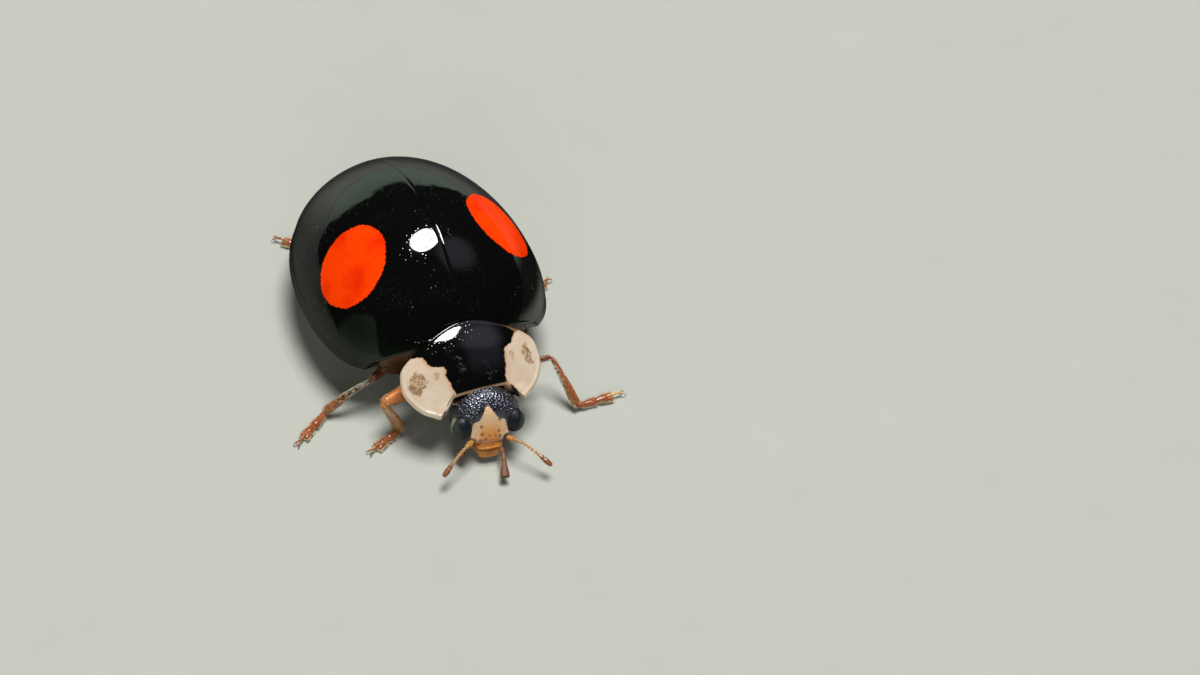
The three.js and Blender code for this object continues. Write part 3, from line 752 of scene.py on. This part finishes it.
def leg(name):
    """Makes one leg's four pieces and its hairs."""
    hip, knee, ankle, claw = np.array(LEGS[name], float)
    stout = STOUT.get(name, (1.0, 1.0))
    coat = Coat()

    # femur: a flattened spindle, with the small trochanter at its foot
    s = even_ends(48)
    wide = (0.105 + 0.075 * np.sin(math.pi * s ** 0.9)) * rounded(s, 0.05, 0.07) * stout[0]
    wide *= 1 - 0.28 * hump(s - 0.16, 0.035)
    limb = resample(bowed(hip, knee, 0.05), s), wide * 0.85, wide
    femur = tube(Part(), *limb, 24, UP)
    coat.add(limb, 160, 0.08, 0.005, FEMUR_MAP, 0.85, 0.3, 0.97)

    # tibia: slender at the knee and broadest before the ankle, with two spurs
    heel = xyz(*ankle[:2], HEEL_Z)
    s = even_ends(44)
    slim = SLIM.get(name, 0.062)
    wide = (slim + (0.112 - slim) * smooth_step(0.05, 0.8, s)) * rounded(s, 0.08, 0.07) * stout[1]
    limb = resample(bowed(knee, heel, 0.07), s), wide * 0.85, wide
    tibia = tube(Part(), *limb, 22, UP)
    coat.add(limb, HAIRY.get(name, 240), 0.1, 0.0045, TIBIA_MAP, 0.8, 0.05, 0.98)
    # the fringe down the inner side
    coat.add(limb, 200, 0.1, 0.005, TIBIA_MAP, 0.72, 0.2, 0.98, (0.0, 0.4))
    down = unit(heel - knee)
    for k in (-1, 1):
        tip = heel + down * 0.08 + np.cross(down, UP) * 0.05 * k
        spur = [heel - down * 0.03, heel + down * 0.03 - UP * 0.03, tip]
        spine(tibia, spur, 10, 0.014, 0.0028, (0.3, 0.1), 8)

    # tarsus: padded joints, then the slender claw joint with its two toothed claws
    away = xyz(*(claw - heel)[:2], 0)
    aside = np.cross(unit(away), UP)

    def along_foot(knots, side=1):
        return [heel * [1, 1, 0] + away * share + aside * off * side + UP * z for share, z, off in knots]

    tarsus, claws = Part(), Part()
    for part, joints in ((tarsus, PADS), (claws, CLAW_JOINT)):
        for knots, base, tip, flat in joints:
            s = np.linspace(0, 1, 22)
            path = spline(along_foot(knots), 22)
            wide = (base + (tip - base) * smooth_step(0, 0.85, s)) * rounded(s, 0.12, 0.16)
            path[:, 2] += np.maximum(SOLE_Z - path[:, 2] + wide * flat, 0)
            limb = path, wide, wide * flat
            tube(part, *limb, 18, UP)
            if part is tarsus:
                coat.add(limb, 30, 0.07, 0.0045, FOOT_MAP, 0.75, 0.1, 0.98, (math.pi / 2, 0.9))
                # the soles' brush of pale hairs
                coat.add(limb, 360, 0.07, 0.006, SOLE_MAP, 0.3, 0.25, 0.99, (-math.pi / 2, 0.75))
    for k in (-1, 1):
        spine(claws, along_foot(HOOK, k), 18, 0.02, 0.005, (0.1, 0.05))
        spine(claws, along_foot(TOOTH, k), 12, 0.016, 0.006, (0.1, 0.08))

    looks = LEG_LOOKS.get(name, ("femur", "tibia", "claw"))
    piece(f"femur_skin_{name}", femur, looks[0], "leg", f"femur_{name}")
    piece(f"tibia_skin_{name}", tibia, looks[1], "leg", f"tibia_{name}")
    piece(f"tarsus_skin_{name}", tarsus, "tarsus", "foot", f"tarsus_{name}")
    piece(f"claw_joint_{name}", claws, looks[2], "foot")
    piece(f"leg_hairs_{name}", coat.part(), "hair", "leg")


# ---- looks, written as formulas

class Graph:
    """A tree of nodes."""

    def __init__(self, tree):
        self.tree = tree

    def node(self, kind, *inputs, **settings):
        """Adds a node. Its inputs are given in order, and None leaves one as it is."""
        node = self.tree.nodes.new("ShaderNode" + kind)
        for key, value in settings.items():
            setattr(node, key, value)
        for socket, value in zip(node.inputs, inputs):
            self.feed(socket, value)
        return node

    def result(self, output, kind, *inputs, **settings):
        """One output of a new node, by its name or place."""
        return self.node(kind, *inputs, **settings).outputs[output]

    def feed(self, socket, value):
        value = getattr(value, "socket", value)
        if hasattr(value, "is_output"):
            self.tree.links.new(value, socket)
        elif isinstance(value, tuple):
            socket.default_value = (value + (1.0,))[:len(socket.default_value)]
        elif value is not None:
            socket.default_value = value

    def mix(self, colour, *coats):
        """Lays coats over a colour, each given by its own colour and how much of it shows."""
        unused = [None] * 5
        for over, amount in zip(coats[::2], coats[1::2]):
            colour = self.result(2, "Mix", amount, *unused, colour, over, data_type="RGBA")
        return colour

    def ramp(self, value, low, high):
        """Rises smoothly from 0 at low to 1 at high; falls when low is above high."""
        ends = (low, high, 0.0, 1.0) if low < high else (high, low, 1.0, 0.0)
        return self.result("Result", "MapRange", value, *ends, interpolation_type="SMOOTHSTEP")


def maths(operation):
    """A method that puts a term and others through a maths node."""
    def method(term, *others):
        return Term(term.look, term.look.result(0, "Math", term, *others, operation=operation))
    return method


class Term:
    """One number at each place of a surface."""

    def __init__(self, look, socket):
        self.look, self.socket = look, socket

    __add__ = __radd__ = maths("ADD")
    __mul__ = __rmul__ = maths("MULTIPLY")
    __sub__, __truediv__ = maths("SUBTRACT"), maths("DIVIDE")
    abs, root, most = maths("ABSOLUTE"), maths("SQRT"), maths("MAXIMUM")

    def __rsub__(self, other):
        return self * -1.0 + other

    def step(self, low, high):
        return Term(self.look, self.look.ramp(self, low, high))

    def curve(self, knots, top):
        """A free curve through knots (value, result), with results up to top."""
        (low, _), (high, _) = knots[0], knots[-1]
        node = self.look.node("FloatCurve", None, (self - low) / (high - low))
        points = node.mapping.curves[0].points
        while len(points) < len(knots):
            points.new(0.5, 0.5)
        for point, (value, result) in zip(points, knots):
            point.location = ((value - low) / (high - low), result / top)
        node.mapping.update()
        return Term(self.look, node.outputs[0]) * top


def distance(*parts):
    """The length of a vector of terms."""
    return sum(part * part for part in parts).root()


def greatest(terms):
    return reduce(Term.most, terms)


class Look(Graph):
    """A node material whose patterns are formulas of the place in beetle millimetres."""

    def __init__(self, name, **constants):
        self.material = bpy.data.materials.new(name)
        self.material.use_nodes = True
        super().__init__(self.material.node_tree)
        self.tree.nodes.clear()
        self.surface = self.node("BsdfPrincipled")
        self.node("OutputMaterial", self.surface.outputs[0])
        metres = self.result("Object", "TexCoord")
        scaled = self.result(0, "VectorMath", metres, None, None, 1.0 / MM, operation="SCALE")
        self.place = self.result(0, "VectorMath", scaled, tuple(SHIFT), operation="SUBTRACT")
        split = self.node("SeparateXYZ", self.place)
        self.x, self.y, self.z = (Term(self, socket) for socket in split.outputs)
        self.dress(**constants)

    def dress(self, **values):
        """Sets the surface's inputs, with _ for each space in their names."""
        for name, value in values.items():
            self.feed(self.surface.inputs[name.replace("_", " ")], value)

    def colour(self, colour, *coats):
        self.dress(Base_Color=self.mix(colour, *coats))

    def noise(self, scale, detail=3.0, rough=0.5, stretch=(1.0, 1.0, 1.0)):
        place = self.result(0, "VectorMath", self.place, stretch, operation="MULTIPLY")
        return Term(self, self.result("Fac", "TexNoise", place, None, scale, detail, rough))

    def cells(self, scale):
        return Term(self, self.result("Distance", "TexVoronoi", self.place, None, scale))

    def along(self, origin, axis):
        """How far the place lies from origin along axis."""
        return sum((term - o) * a for term, o, a in zip((self.x, self.y, self.z), origin, axis))

    def relief(self, height, depth):
        """Fine relief: depth is in millimetres for a height of 1."""
        node = self.node("Bump")
        for name, value in (("Strength", 1.0), ("Distance", depth * MM), ("Height", height)):
            self.feed(node.inputs[name], value)
        self.dress(Normal=node.outputs[0], Coat_Normal=node.outputs[0])


def glossy(name, **more):
    """A matt ground under a clear lacquer."""
    lacquer = dict(Roughness=0.18, IOR=1.5, Specular_IOR_Level=0.0, Coat_Weight=1.0, Coat_Roughness=0.045,
                   Coat_IOR=1.7)
    return Look(name, **{**lacquer, **more})


BLACK = (0.0022, 0.0025, 0.0022)
# the wing cases' spots: centre, outward normal, long and short half-axes
SPOTS = [((-1.886, -0.417, 2.831), (-0.729, -0.046, 0.683), 0.98, 0.83),
         ((1.77, -0.35, 2.96), (0.70, -0.046, 0.712), 0.96, 0.82)]
SPOT_TILT = (0.909, 0.417)  # cosine and sine of the long axis' angle on the wing case


def wing_case_look():
    """Black lacquer with a ragged red spot on each side, dust on top, and a faint painted green reflection
    lower down.
    """
    look = glossy("wing_case_lacquer")
    x, y, z, noise = look.x, look.y, look.z, look.noise
    ragged = (noise(3.0, 4.0, 0.6) - 0.5) * 0.12 + (noise(16.0, 2.0, 0.6) - 0.5) * 0.09
    ahead, aside = SPOT_TILT
    spots = []
    for centre, normal, long, short in SPOTS:
        sign = math.copysign(1.0, centre[0])
        # first runs up to the suture and second back along the wing case
        first = unit([-sign * normal[2], 0, sign * normal[0]])
        second = np.cross(unit(normal), first)
        second *= np.sign(second[1])
        a = look.along(centre, ahead * first + aside * second) / long
        b = look.along(centre, aside * first - ahead * second) / short
        inside = (distance(a, b) + ragged).step(1.012, 0.985)
        spots.append(inside * (x * sign).step(0.2, 0.4) * z.step(1.6, 1.7))
    mask = greatest(spots)
    red = look.mix((0.88, 0.046, 0.0012), (0.72, 0.022, 0.0008), noise(1.6, 2.0).step(0.4, 0.75))
    specks = look.cells(6.0).step(0.13, 0.06) * noise(2.0, 3.0).step(0.52, 0.62)
    film = noise(26.0, 3.0, 0.7).step(0.62, 0.72) * noise(1.3, 2.0).step(0.52, 0.6) * 0.5
    dust = specks.most(film)
    # the faint green lower down the dome is a painted reflection of green surroundings
    look.colour(BLACK, (0.003, 0.006, 0.0025), z.step(2.1, 1.7), (0.2, 0.2, 0.2), dust * 0.6, red, mask)
    # the gloss is weaker over the spots, at a slant, low on the shoulders and down the right side
    slant = Term(look, look.result("Facing", "LayerWeight")).step(0.48, 0.85)
    flank = z.step(2.9, 2.5) * z.step(1.75, 2.05)
    shoulder = y.step(0.3, -0.7) * flank * (0.4 + 0.55 * x.step(-1.0, 1.0))
    right = x.step(-1.3, -2.3) * 0.65
    gloss = (1.0 - mask * 0.8) * (1.0 - slant * 0.9) * (1.0 - shoulder) * (1.0 - right)
    look.dress(Coat_Weight=gloss, Roughness=0.16 + dust * 0.3)
    pits, swells = look.cells(11.0).step(0.03, 0.28), noise(0.9, 2.0, 0.5)
    look.relief(pits * 0.6 + swells * 6.0, 0.0035)
    return look


# inner borders of the pronotum's pale patches: (y, distance from the midline)
PATCH_RIGHT = [
    (-4.0, 0.58), (-3.64, 0.58), (-3.55, 0.61), (-3.44, 0.64), (-3.33, 0.7), (-3.28, 0.68), (-3.2, 0.69),
    (-3.14, 0.84), (-3.06, 1.0), (-3.0, 1.04), (-2.93, 1.06), (-2.83, 1.14), (-2.76, 1.4), (-2.6, 1.9)]
PATCH_LEFT = [
    (-4.0, 0.9), (-3.82, 0.88), (-3.73, 0.8), (-3.66, 0.7), (-3.58, 0.66), (-3.47, 0.7), (-3.35, 0.73),
    (-3.2, 0.76), (-3.12, 0.78), (-3.0, 0.98), (-2.86, 1.1), (-2.77, 1.2), (-2.72, 1.4), (-2.6, 1.9)]
# brown smudges on the patches: x, y, half-axes and strength; and dusty scuffs between them: x, y and size
SMUDGES = [(-1.33, -3.23, 0.2, 0.19, 1.0), (1.33, -3.2, 0.13, 0.22, 1.0), (-0.9, -3.27, 0.08, 0.07, 0.45),
           (0.92, -3.23, 0.07, 0.08, 0.45)]
SCUFFS = [(-0.5, -2.95, 0.12), (-0.35, -3.12, 0.1), (-0.31, -3.29, 0.12), (0.3, -3.5, 0.1)]


def pronotum_look():
    """Black lacquer between two cream patches with brown smudges, edged with amber, and a faint painted
    violet reflection on the black middle.
    """
    look = glossy("pronotum_lacquer")
    x, y, noise = look.x, look.y, look.noise
    wobble = (noise(9.0, 4.0, 0.65) - 0.5) * 0.11 + (noise(20.0, 2.0, 0.6) - 0.5) * 0.09
    right, left = (x * side - y.curve(border, 2.0) + wobble
                   for side, border in ((-1.0, PATCH_RIGHT), (1.0, PATCH_LEFT)))
    inside = right.most(left)
    patch = inside.step(-0.012, 0.012)
    blur = (noise(8.0, 3.0, 0.6) - 0.5) * 1.6
    smudges = greatest([(distance((x - a) / wide, (y - b) / long) + blur).step(1.05, 0.75) * strength
                        for a, b, wide, long, strength in SMUDGES])
    strokes = (noise(7.5, 3.0, 0.6) - 0.5).abs().step(0.075, 0.02)
    strokes = strokes.most(noise(30.0, 2.0, 0.6).step(0.5, 0.62) * 0.6)
    pale = look.mix(
        (0.55, 0.425, 0.315),
        (0.6, 0.5, 0.39), noise(2.2, 3.0, 0.55).step(0.35, 0.7),
        (0.5, 0.27, 0.13), inside.step(0.08, 0.0) * (0.45 + 0.5 * noise(7.0, 3.0)),
        (0.42, 0.26, 0.13), smudges * 0.65,
        (0.115, 0.066, 0.022), smudges * strokes * 0.75)
    scuffs = greatest([(distance(x - a, y - b) / size).step(1.1, 0.4) for a, b, size in SCUFFS])
    dust = scuffs * noise(16.0, 4.0, 0.7).step(0.52, 0.66)
    # a faint painted violet reflection of a soft light, over the black middle
    painted_reflection = x.step(-0.25, 0.05) * x.step(0.85, 0.5) * y.step(-3.55, -3.2)
    front = (y - 0.02 * (x * x)).step(-3.655, -3.675) * x.abs().step(0.78, 0.68)
    rim = (y + 0.24 * (x * x)).step(-2.465, -2.445) * x.step(0.45, 0.7)
    look.colour(BLACK, (0.0105, 0.0097, 0.0135), painted_reflection, (0.085, 0.085, 0.07), dust * 0.8,
                (0.42, 0.24, 0.13), front, (0.2, 0.11, 0.045), rim, pale, patch)
    look.dress(Roughness=0.2 + patch * 0.15 + dust * 0.3, Coat_Weight=1.0 - patch * 0.7)
    look.relief(look.cells(14.0).step(0.02, 0.25), 0.0018)
    return look


# the pale face's half-width at each height, and the dots on it: a, b and size, on the head's axes
FACE_EDGE = [
    (-0.8, 0.42), (-0.6, 0.44), (-0.5, 0.45), (-0.3, 0.42), (-0.1, 0.385), (-0.03, 0.36), (0.0, 0.25),
    (0.1, 0.17), (0.2, 0.11), (0.3, 0.05), (0.345, 0.0), (0.4, 0.0)]
FACE_DOTS = [
    (-0.2, -0.14, 0.045), (-0.19, -0.33, 0.045), (-0.02, -0.38, 0.03), (0.12, -0.4, 0.03),
    (0.22, -0.44, 0.05), (0.2, -0.3, 0.04), (-0.1, -0.47, 0.04), (0.22, -0.02, 0.045), (-0.22, -0.5, 0.05)]


def head_look():
    """Black and punctured, with a pale triangular face that turns amber towards the mouth."""
    look = glossy("head_punctate", IOR=1.7, Specular_IOR_Level=0.7, Specular_Tint=(0.72, 0.76, 1.0),
                  Coat_Roughness=0.2)
    noise = look.noise
    a, b, c = (look.along(HEAD_CENTRE, axis) for axis in HEAD_AXES)
    edge = b.curve(FACE_EDGE, 0.5) - (a + 0.02 + b * 0.06).abs() + (noise(12.0, 3.0) - 0.5) * 0.03
    mark = edge.step(-0.01, 0.012) * c.step(0.1, 0.2) * b.step(0.36, 0.33)
    middle = a.abs().step(0.34, 0.12)
    blur = (noise(20.0, 2.0) - 0.5) * 1.2
    dots = greatest([(distance(a - x, b - y) / size + blur).step(1.15, 0.7) for x, y, size in FACE_DOTS])
    warm = look.mix(
        (0.72, 0.47, 0.25),
        (0.66, 0.32, 0.09), middle * b.step(0.05, -0.25),
        (0.64, 0.22, 0.012), middle.most(b.step(-0.5, -0.58)) * b.step(-0.15, -0.4),
        (0.3, 0.09, 0.015), b.step(-0.42, -0.56) * (0.3 + 0.5 * noise(9.0, 3.0)),
        (0.16, 0.06, 0.014), dots * 0.8)
    look.colour((0.006, 0.006, 0.008), warm, mark)
    look.dress(Roughness=0.36, Coat_Weight=0.6 - mark * 0.4)
    look.relief(look.cells(19.0).step(0.1, 0.5) * (1.0 - mark * 0.7), 0.011)
    return look


def eye_look(word, side):
    """Dark facets, with a pale ring and a painted grey-green reflection on the outer side."""
    look = glossy(f"eye_facets_{word}", Roughness=0.4, Coat_Weight=0.35, Coat_Roughness=0.3)
    centre = on_head(EYE_PLACE, side)
    a = look.along(centre, HEAD_AXES[0]) / (EYE_SIZE[0] * side)
    b = look.along(centre, HEAD_AXES[1]) / EYE_SIZE[1]
    outer = (a * 0.9 - b * 0.3).step(0.1, 0.5)
    # the mottled grey-green on the outer, lower side is a painted reflection
    look.colour((0.006, 0.008, 0.011), (0.035, 0.045, 0.035), outer * (0.4 + look.noise(7.0, 2.0)),
                (0.26, 0.25, 0.17), distance(a, b).step(0.94, 0.975) * outer * 0.9)
    look.relief(look.cells(42.0).step(0.0, 0.6), -0.005)
    return look


def horn_look(name, pale, deep, dark, gloss=0.3, shine=0.5):
    """Amber or red-brown horn that light goes a little way into."""
    look = Look(name, Roughness=gloss, IOR=1.5, Coat_Weight=shine, Coat_Roughness=0.1, Subsurface_Weight=0.15,
                Subsurface_Scale=0.00006, Subsurface_Radius=(1.0, 0.45, 0.15))
    look.colour(pale, deep, look.noise(5.0, 3.0).step(0.3, 0.7),
                dark, look.noise(13.0, 4.0, 0.6).step(0.55, 0.78) * 0.7)
    look.relief(look.cells(24.0).step(0.05, 0.5), 0.003)
    return look


def hair_look():
    """Brown-gold hairs, paler high on the legs and palest at the soles."""
    look = Look("golden_hair", Roughness=0.3, IOR=1.5)
    look.colour((0.7, 0.48, 0.22), (0.45, 0.23, 0.08), look.noise(4.0, 2.0).step(0.35, 0.65),
                (0.66, 0.58, 0.42), look.z.step(0.45, 0.75), (0.85, 0.72, 0.48), look.z.step(0.12, 0.08))
    return look


def feeler_look():
    """Orange at the foot, paler along the stem and dark at the club."""
    look = horn_look("feeler_amber", (0.62, 0.34, 0.12), (0.5, 0.24, 0.07), (0.28, 0.1, 0.03))
    away = distance(look.x - 0.05, look.y + 4.45, look.z - 0.65)
    look.colour((0.48, 0.2, 0.045), (0.46, 0.27, 0.11), away.step(0.5, 0.62),
                (0.22, 0.07, 0.025), away.step(1.08, 1.2),
                (0.2, 0.07, 0.02), look.noise(16.0, 3.0, 0.6).step(0.52, 0.7) * 0.6)
    return look


def claw_look(name, joint):
    """The claw joint's own colour, and claws that darken towards their points."""
    look = horn_look(name, joint, joint, joint)
    look.colour(joint, (0.1, 0.035, 0.012), look.z.step(0.12, 0.08))
    return look


def painted_shade_tibia_look():
    """Red-brown with dark streaks, and painted shade that darkens it to umber higher up towards the knee,
    under the wing cases.
    """
    look = horn_look("tibia_umber_painted_shade", (0.3, 0.08, 0.022), (0.2, 0.05, 0.016), (0.08, 0.02, 0.01))
    streaks = look.noise(5.0, 3.0, 0.6, (1.0, 1.0, 3.0)).step(0.45, 0.6) * 0.6
    # the near-black high up towards the knee is painted shade, where the wing cases shade the leg
    look.colour((0.32, 0.085, 0.024), (0.1, 0.03, 0.01), streaks,
                (0.035, 0.017, 0.008), look.z.step(0.3, 0.7))
    return look


def underside_look(name, middle, edge):
    """Brown plates that change colour towards the sides."""
    look = glossy(name, Roughness=0.35, Coat_Weight=0.5, Coat_Roughness=0.15)
    across = look.x.abs().step(0.7, 1.75)
    look.colour(middle, edge, across + (look.noise(4.0, 3.0) - 0.5) * 0.4)
    look.relief(look.cells(15.0).step(0.05, 0.4), 0.006)
    return look


# plain horns: the material's name, then its pale, deep and dark colours
HORNS = {
    "lip": ("lip_amber", (0.6, 0.24, 0.04), (0.42, 0.14, 0.025), (0.16, 0.05, 0.015)),
    "mouth": ("mouth_brown", (0.32, 0.12, 0.03), (0.2, 0.07, 0.02), (0.06, 0.02, 0.008)),
    "palp": ("palp_brown", (0.17, 0.065, 0.016), (0.12, 0.04, 0.011), (0.06, 0.018, 0.007), 0.55, 0.0),
    "femur": ("femur_orange", (0.6, 0.19, 0.025), (0.42, 0.12, 0.018), (0.2, 0.05, 0.012)),
    # darker red and brown copies of the orange femur, with painted shade for legs that lie in shadow
    "femur_painted_shade": ("femur_red", (0.2, 0.035, 0.012), (0.13, 0.022, 0.009), (0.06, 0.012, 0.006)),
    "femur_brown": ("femur_brown", (0.17, 0.055, 0.014), (0.1, 0.032, 0.01), (0.05, 0.016, 0.008)),
    "tibia": ("tibia_brown", (0.32, 0.085, 0.022), (0.22, 0.055, 0.016), (0.09, 0.022, 0.01)),
    # a paler copy of the tibia's horn, with painted light for the lit front right leg
    "tibia_painted_light": ("tibia_olive", (0.5, 0.19, 0.03), (0.38, 0.13, 0.022), (0.18, 0.05, 0.013)),
    "tarsus": ("tarsus_red", (0.33, 0.08, 0.024), (0.23, 0.048, 0.015), (0.1, 0.026, 0.01)),
}
LOOKS = {
    "wing": wing_case_look(),
    "pronotum": pronotum_look(),
    "head": head_look(),
    "eye_left": eye_look("left", 1),
    "eye_right": eye_look("right", -1),
    "feeler": feeler_look(),
    "tibia_painted_shade": painted_shade_tibia_look(),
    "claw": claw_look("claw_red", (0.34, 0.1, 0.03)),
    "claw_pale": claw_look("claw_amber", (0.6, 0.36, 0.14)),
    "hair": hair_look(),
    "thorax": underside_look("thorax_brown", (0.03, 0.015, 0.008), (0.075, 0.028, 0.008)),
    "abdomen": underside_look("abdomen_brown", (0.05, 0.02, 0.01), (0.4, 0.14, 0.03)),
    **{key: horn_look(*horn) for key, horn in HORNS.items()},
}


# ---- the insect

for side, word in ((1, "left"), (-1, "right")):
    piece(f"wing_case_{word}", elytron(side), "wing", "wing_case", f"elytron_{word}")
    eyeball = pebble(Part(), on_head(EYE_PLACE, side), EYE_SIZE, 2.0, 90, 120)
    piece(f"eyeball_{word}", eyeball, f"eye_{word}", "eye", f"eye_{word}")
    feeler, palp = beads(ANTENNAE[word], ANTENNA_JOINTS, 0.85), beads(PALPS[word], PALP_JOINTS, 0.55, True)
    piece(f"feeler_{word}", feeler, "feeler", "feeler", f"antenna_{word}")
    piece(f"jaw_feeler_{word}", palp, "palp", "feeler", f"palp_{word}")
clypeus = plate((0, -0.675, 0.27), (0.31, 0.1, 0.17), (-0.03, 0.025, 0.025))
labrum = plate((0, -0.86, 0.24), (0.26, 0.15, 0.14), (0.045, 0.014, 0.025), (-0.07, 0.012, 0.03))
piece("scutellum_plate", scutellum(), "wing", "wing_case", "scutellum")
piece("thorax_plates", thorax(), "thorax", "underside", "thorax")
piece("belly_plates", abdomen(), "abdomen", "underside", "abdomen")
piece("pronotum_shield", pronotum(), "pronotum", "pronotum", "pronotum")
piece("neck_plates", prothorax(), "thorax", "underside", "prothorax")
piece("head_capsule", head(), "head", "head", "head")
piece("clypeus_plate", clypeus, "lip", "face", "clypeus")
piece("labrum_plate", labrum, "lip", "mouth", "labrum")
piece("mouth_pieces", mouthparts(), "mouth", "mouth", "mouthparts")
for name in LEGS:
    leg(name)


# ---- floor, light and camera

MIDDLE = (0, 0, 2)  # the beetle's, where the lamps are aimed
FLOOR_RADIUS = 0.25  # metres


def row(place):
    """A place in the beetle's millimetres, in the row frame's metres."""
    return Vector((np.array(place) + SHIFT) * MM)


def floor():
    """A round sheet of pale paper."""
    ring = turns(96)
    mesh = bpy.data.meshes.new("floor")
    corners = xyz(np.cos(ring), np.sin(ring), 0) * FLOOR_RADIUS
    mesh.from_pydata(corners.tolist(), [], [list(range(len(corners)))])
    look = Look("floor_paper", Roughness=0.8)
    look.colour((0.37, 0.385, 0.345), (0.4, 0.41, 0.37), look.noise(0.6, 3.0))
    mesh.materials.append(look.material)
    placed("floor", mesh)


def aimed(place, target, roll=0.0):
    """A placing that looks down its own -Z from place to target, rolled about that line."""
    back = (place - target).normalized()
    right = Vector(UP).cross(back).normalized()
    up = back.cross(right)
    turned = right * math.cos(roll) + up * math.sin(roll)
    over = up * math.cos(roll) - right * math.sin(roll)
    matrix = Matrix((turned, over, back)).transposed().to_4x4()
    matrix.translation = place
    return matrix


def area_light(name, away, size, power, colour, mirrored=True):
    """An oval lamp, set away in metres from the beetle's middle and aimed at it."""
    lamp = bpy.data.lights.new(name, "AREA")
    lamp.shape = "ELLIPSE"
    lamp.size, lamp.size_y = size
    lamp.energy = power
    lamp.color = colour
    thing = placed(name, lamp)
    middle = row(MIDDLE)
    thing.matrix_world = aimed(middle + Vector(away), middle)
    thing.visible_glossy = mirrored


def room():
    """Dark woods all round, with open sky low down behind the beetle, a clearing at its right and a dim
    gap above it."""
    world = bpy.data.worlds.new("room")
    world.use_nodes = True
    graph = Graph(world.node_tree)
    way = graph.result("Generated", "TexCoord")

    def towards(direction, low, high):
        """1 where the way looks along direction, 0 away from it."""
        facing = graph.result("Value", "VectorMath", way, tuple(unit(direction)), operation="DOT_PRODUCT")
        return graph.ramp(facing, low, high)

    def times_plus(*inputs):
        return graph.result(0, "Math", *inputs, operation="MULTIPLY_ADD")

    trees = graph.result("Fac", "TexNoise", way, None, 5.0, 5.0, 0.6)
    level = times_plus(trees, 0.22, graph.result("Z", "SeparateXYZ", way))
    level = times_plus(towards((0.15, 0.98, 0.0), 0.7, 0.92), -0.5, level)
    shade = graph.mix(
        (0.006, 0.007, 0.007),
        (0.25, 0.23, 0.29), towards((0.48, -0.26, 0.84), 0.925, 0.99),
        (0.26, 0.36, 0.25), towards((-0.93, -0.35, -0.05), 0.87, 0.9),
        (0.5, 0.65, 0.5), graph.ramp(level, 0.03, -0.05))
    graph.feed(graph.tree.nodes["Background"].inputs[0], shade)
    return world


CAMERA = SimpleNamespace(azimuth=-31.228, elevation=47.433, roll=9.775, distance=89.499,
                         target=(2.988, -3.436, 1.95), lens=120.0, film=36.0)


def camera():
    """The photograph's camera. Its angles are degrees from the beetle's front and from level."""
    c = CAMERA
    azimuth, elevation, roll = np.radians([c.azimuth, c.elevation, c.roll])
    level, target = math.cos(elevation), row(c.target)
    back = Vector((math.sin(azimuth) * level, -math.cos(azimuth) * level, math.sin(elevation)))
    lens = bpy.data.cameras.new("camera")
    lens.lens, lens.sensor_width = c.lens, c.film
    lens.clip_start, lens.clip_end = 0.001, 10.0
    thing = placed("camera", lens)
    thing.matrix_world = aimed(target + back * c.distance * MM, target, roll)
    return thing


floor()
area_light("key", (0.018, 0.025, 0.3), (0.138, 0.162), 1.3, (1.0, 0.99, 0.97))
area_light("fill", (-0.16, -0.28, 0.16), (0.3, 0.2), 0.35, (1.0, 1.0, 1.0), False)
scene = bpy.context.scene
scene.world = room()
scene.view_settings.view_transform = "Standard"
scene.camera = camera()
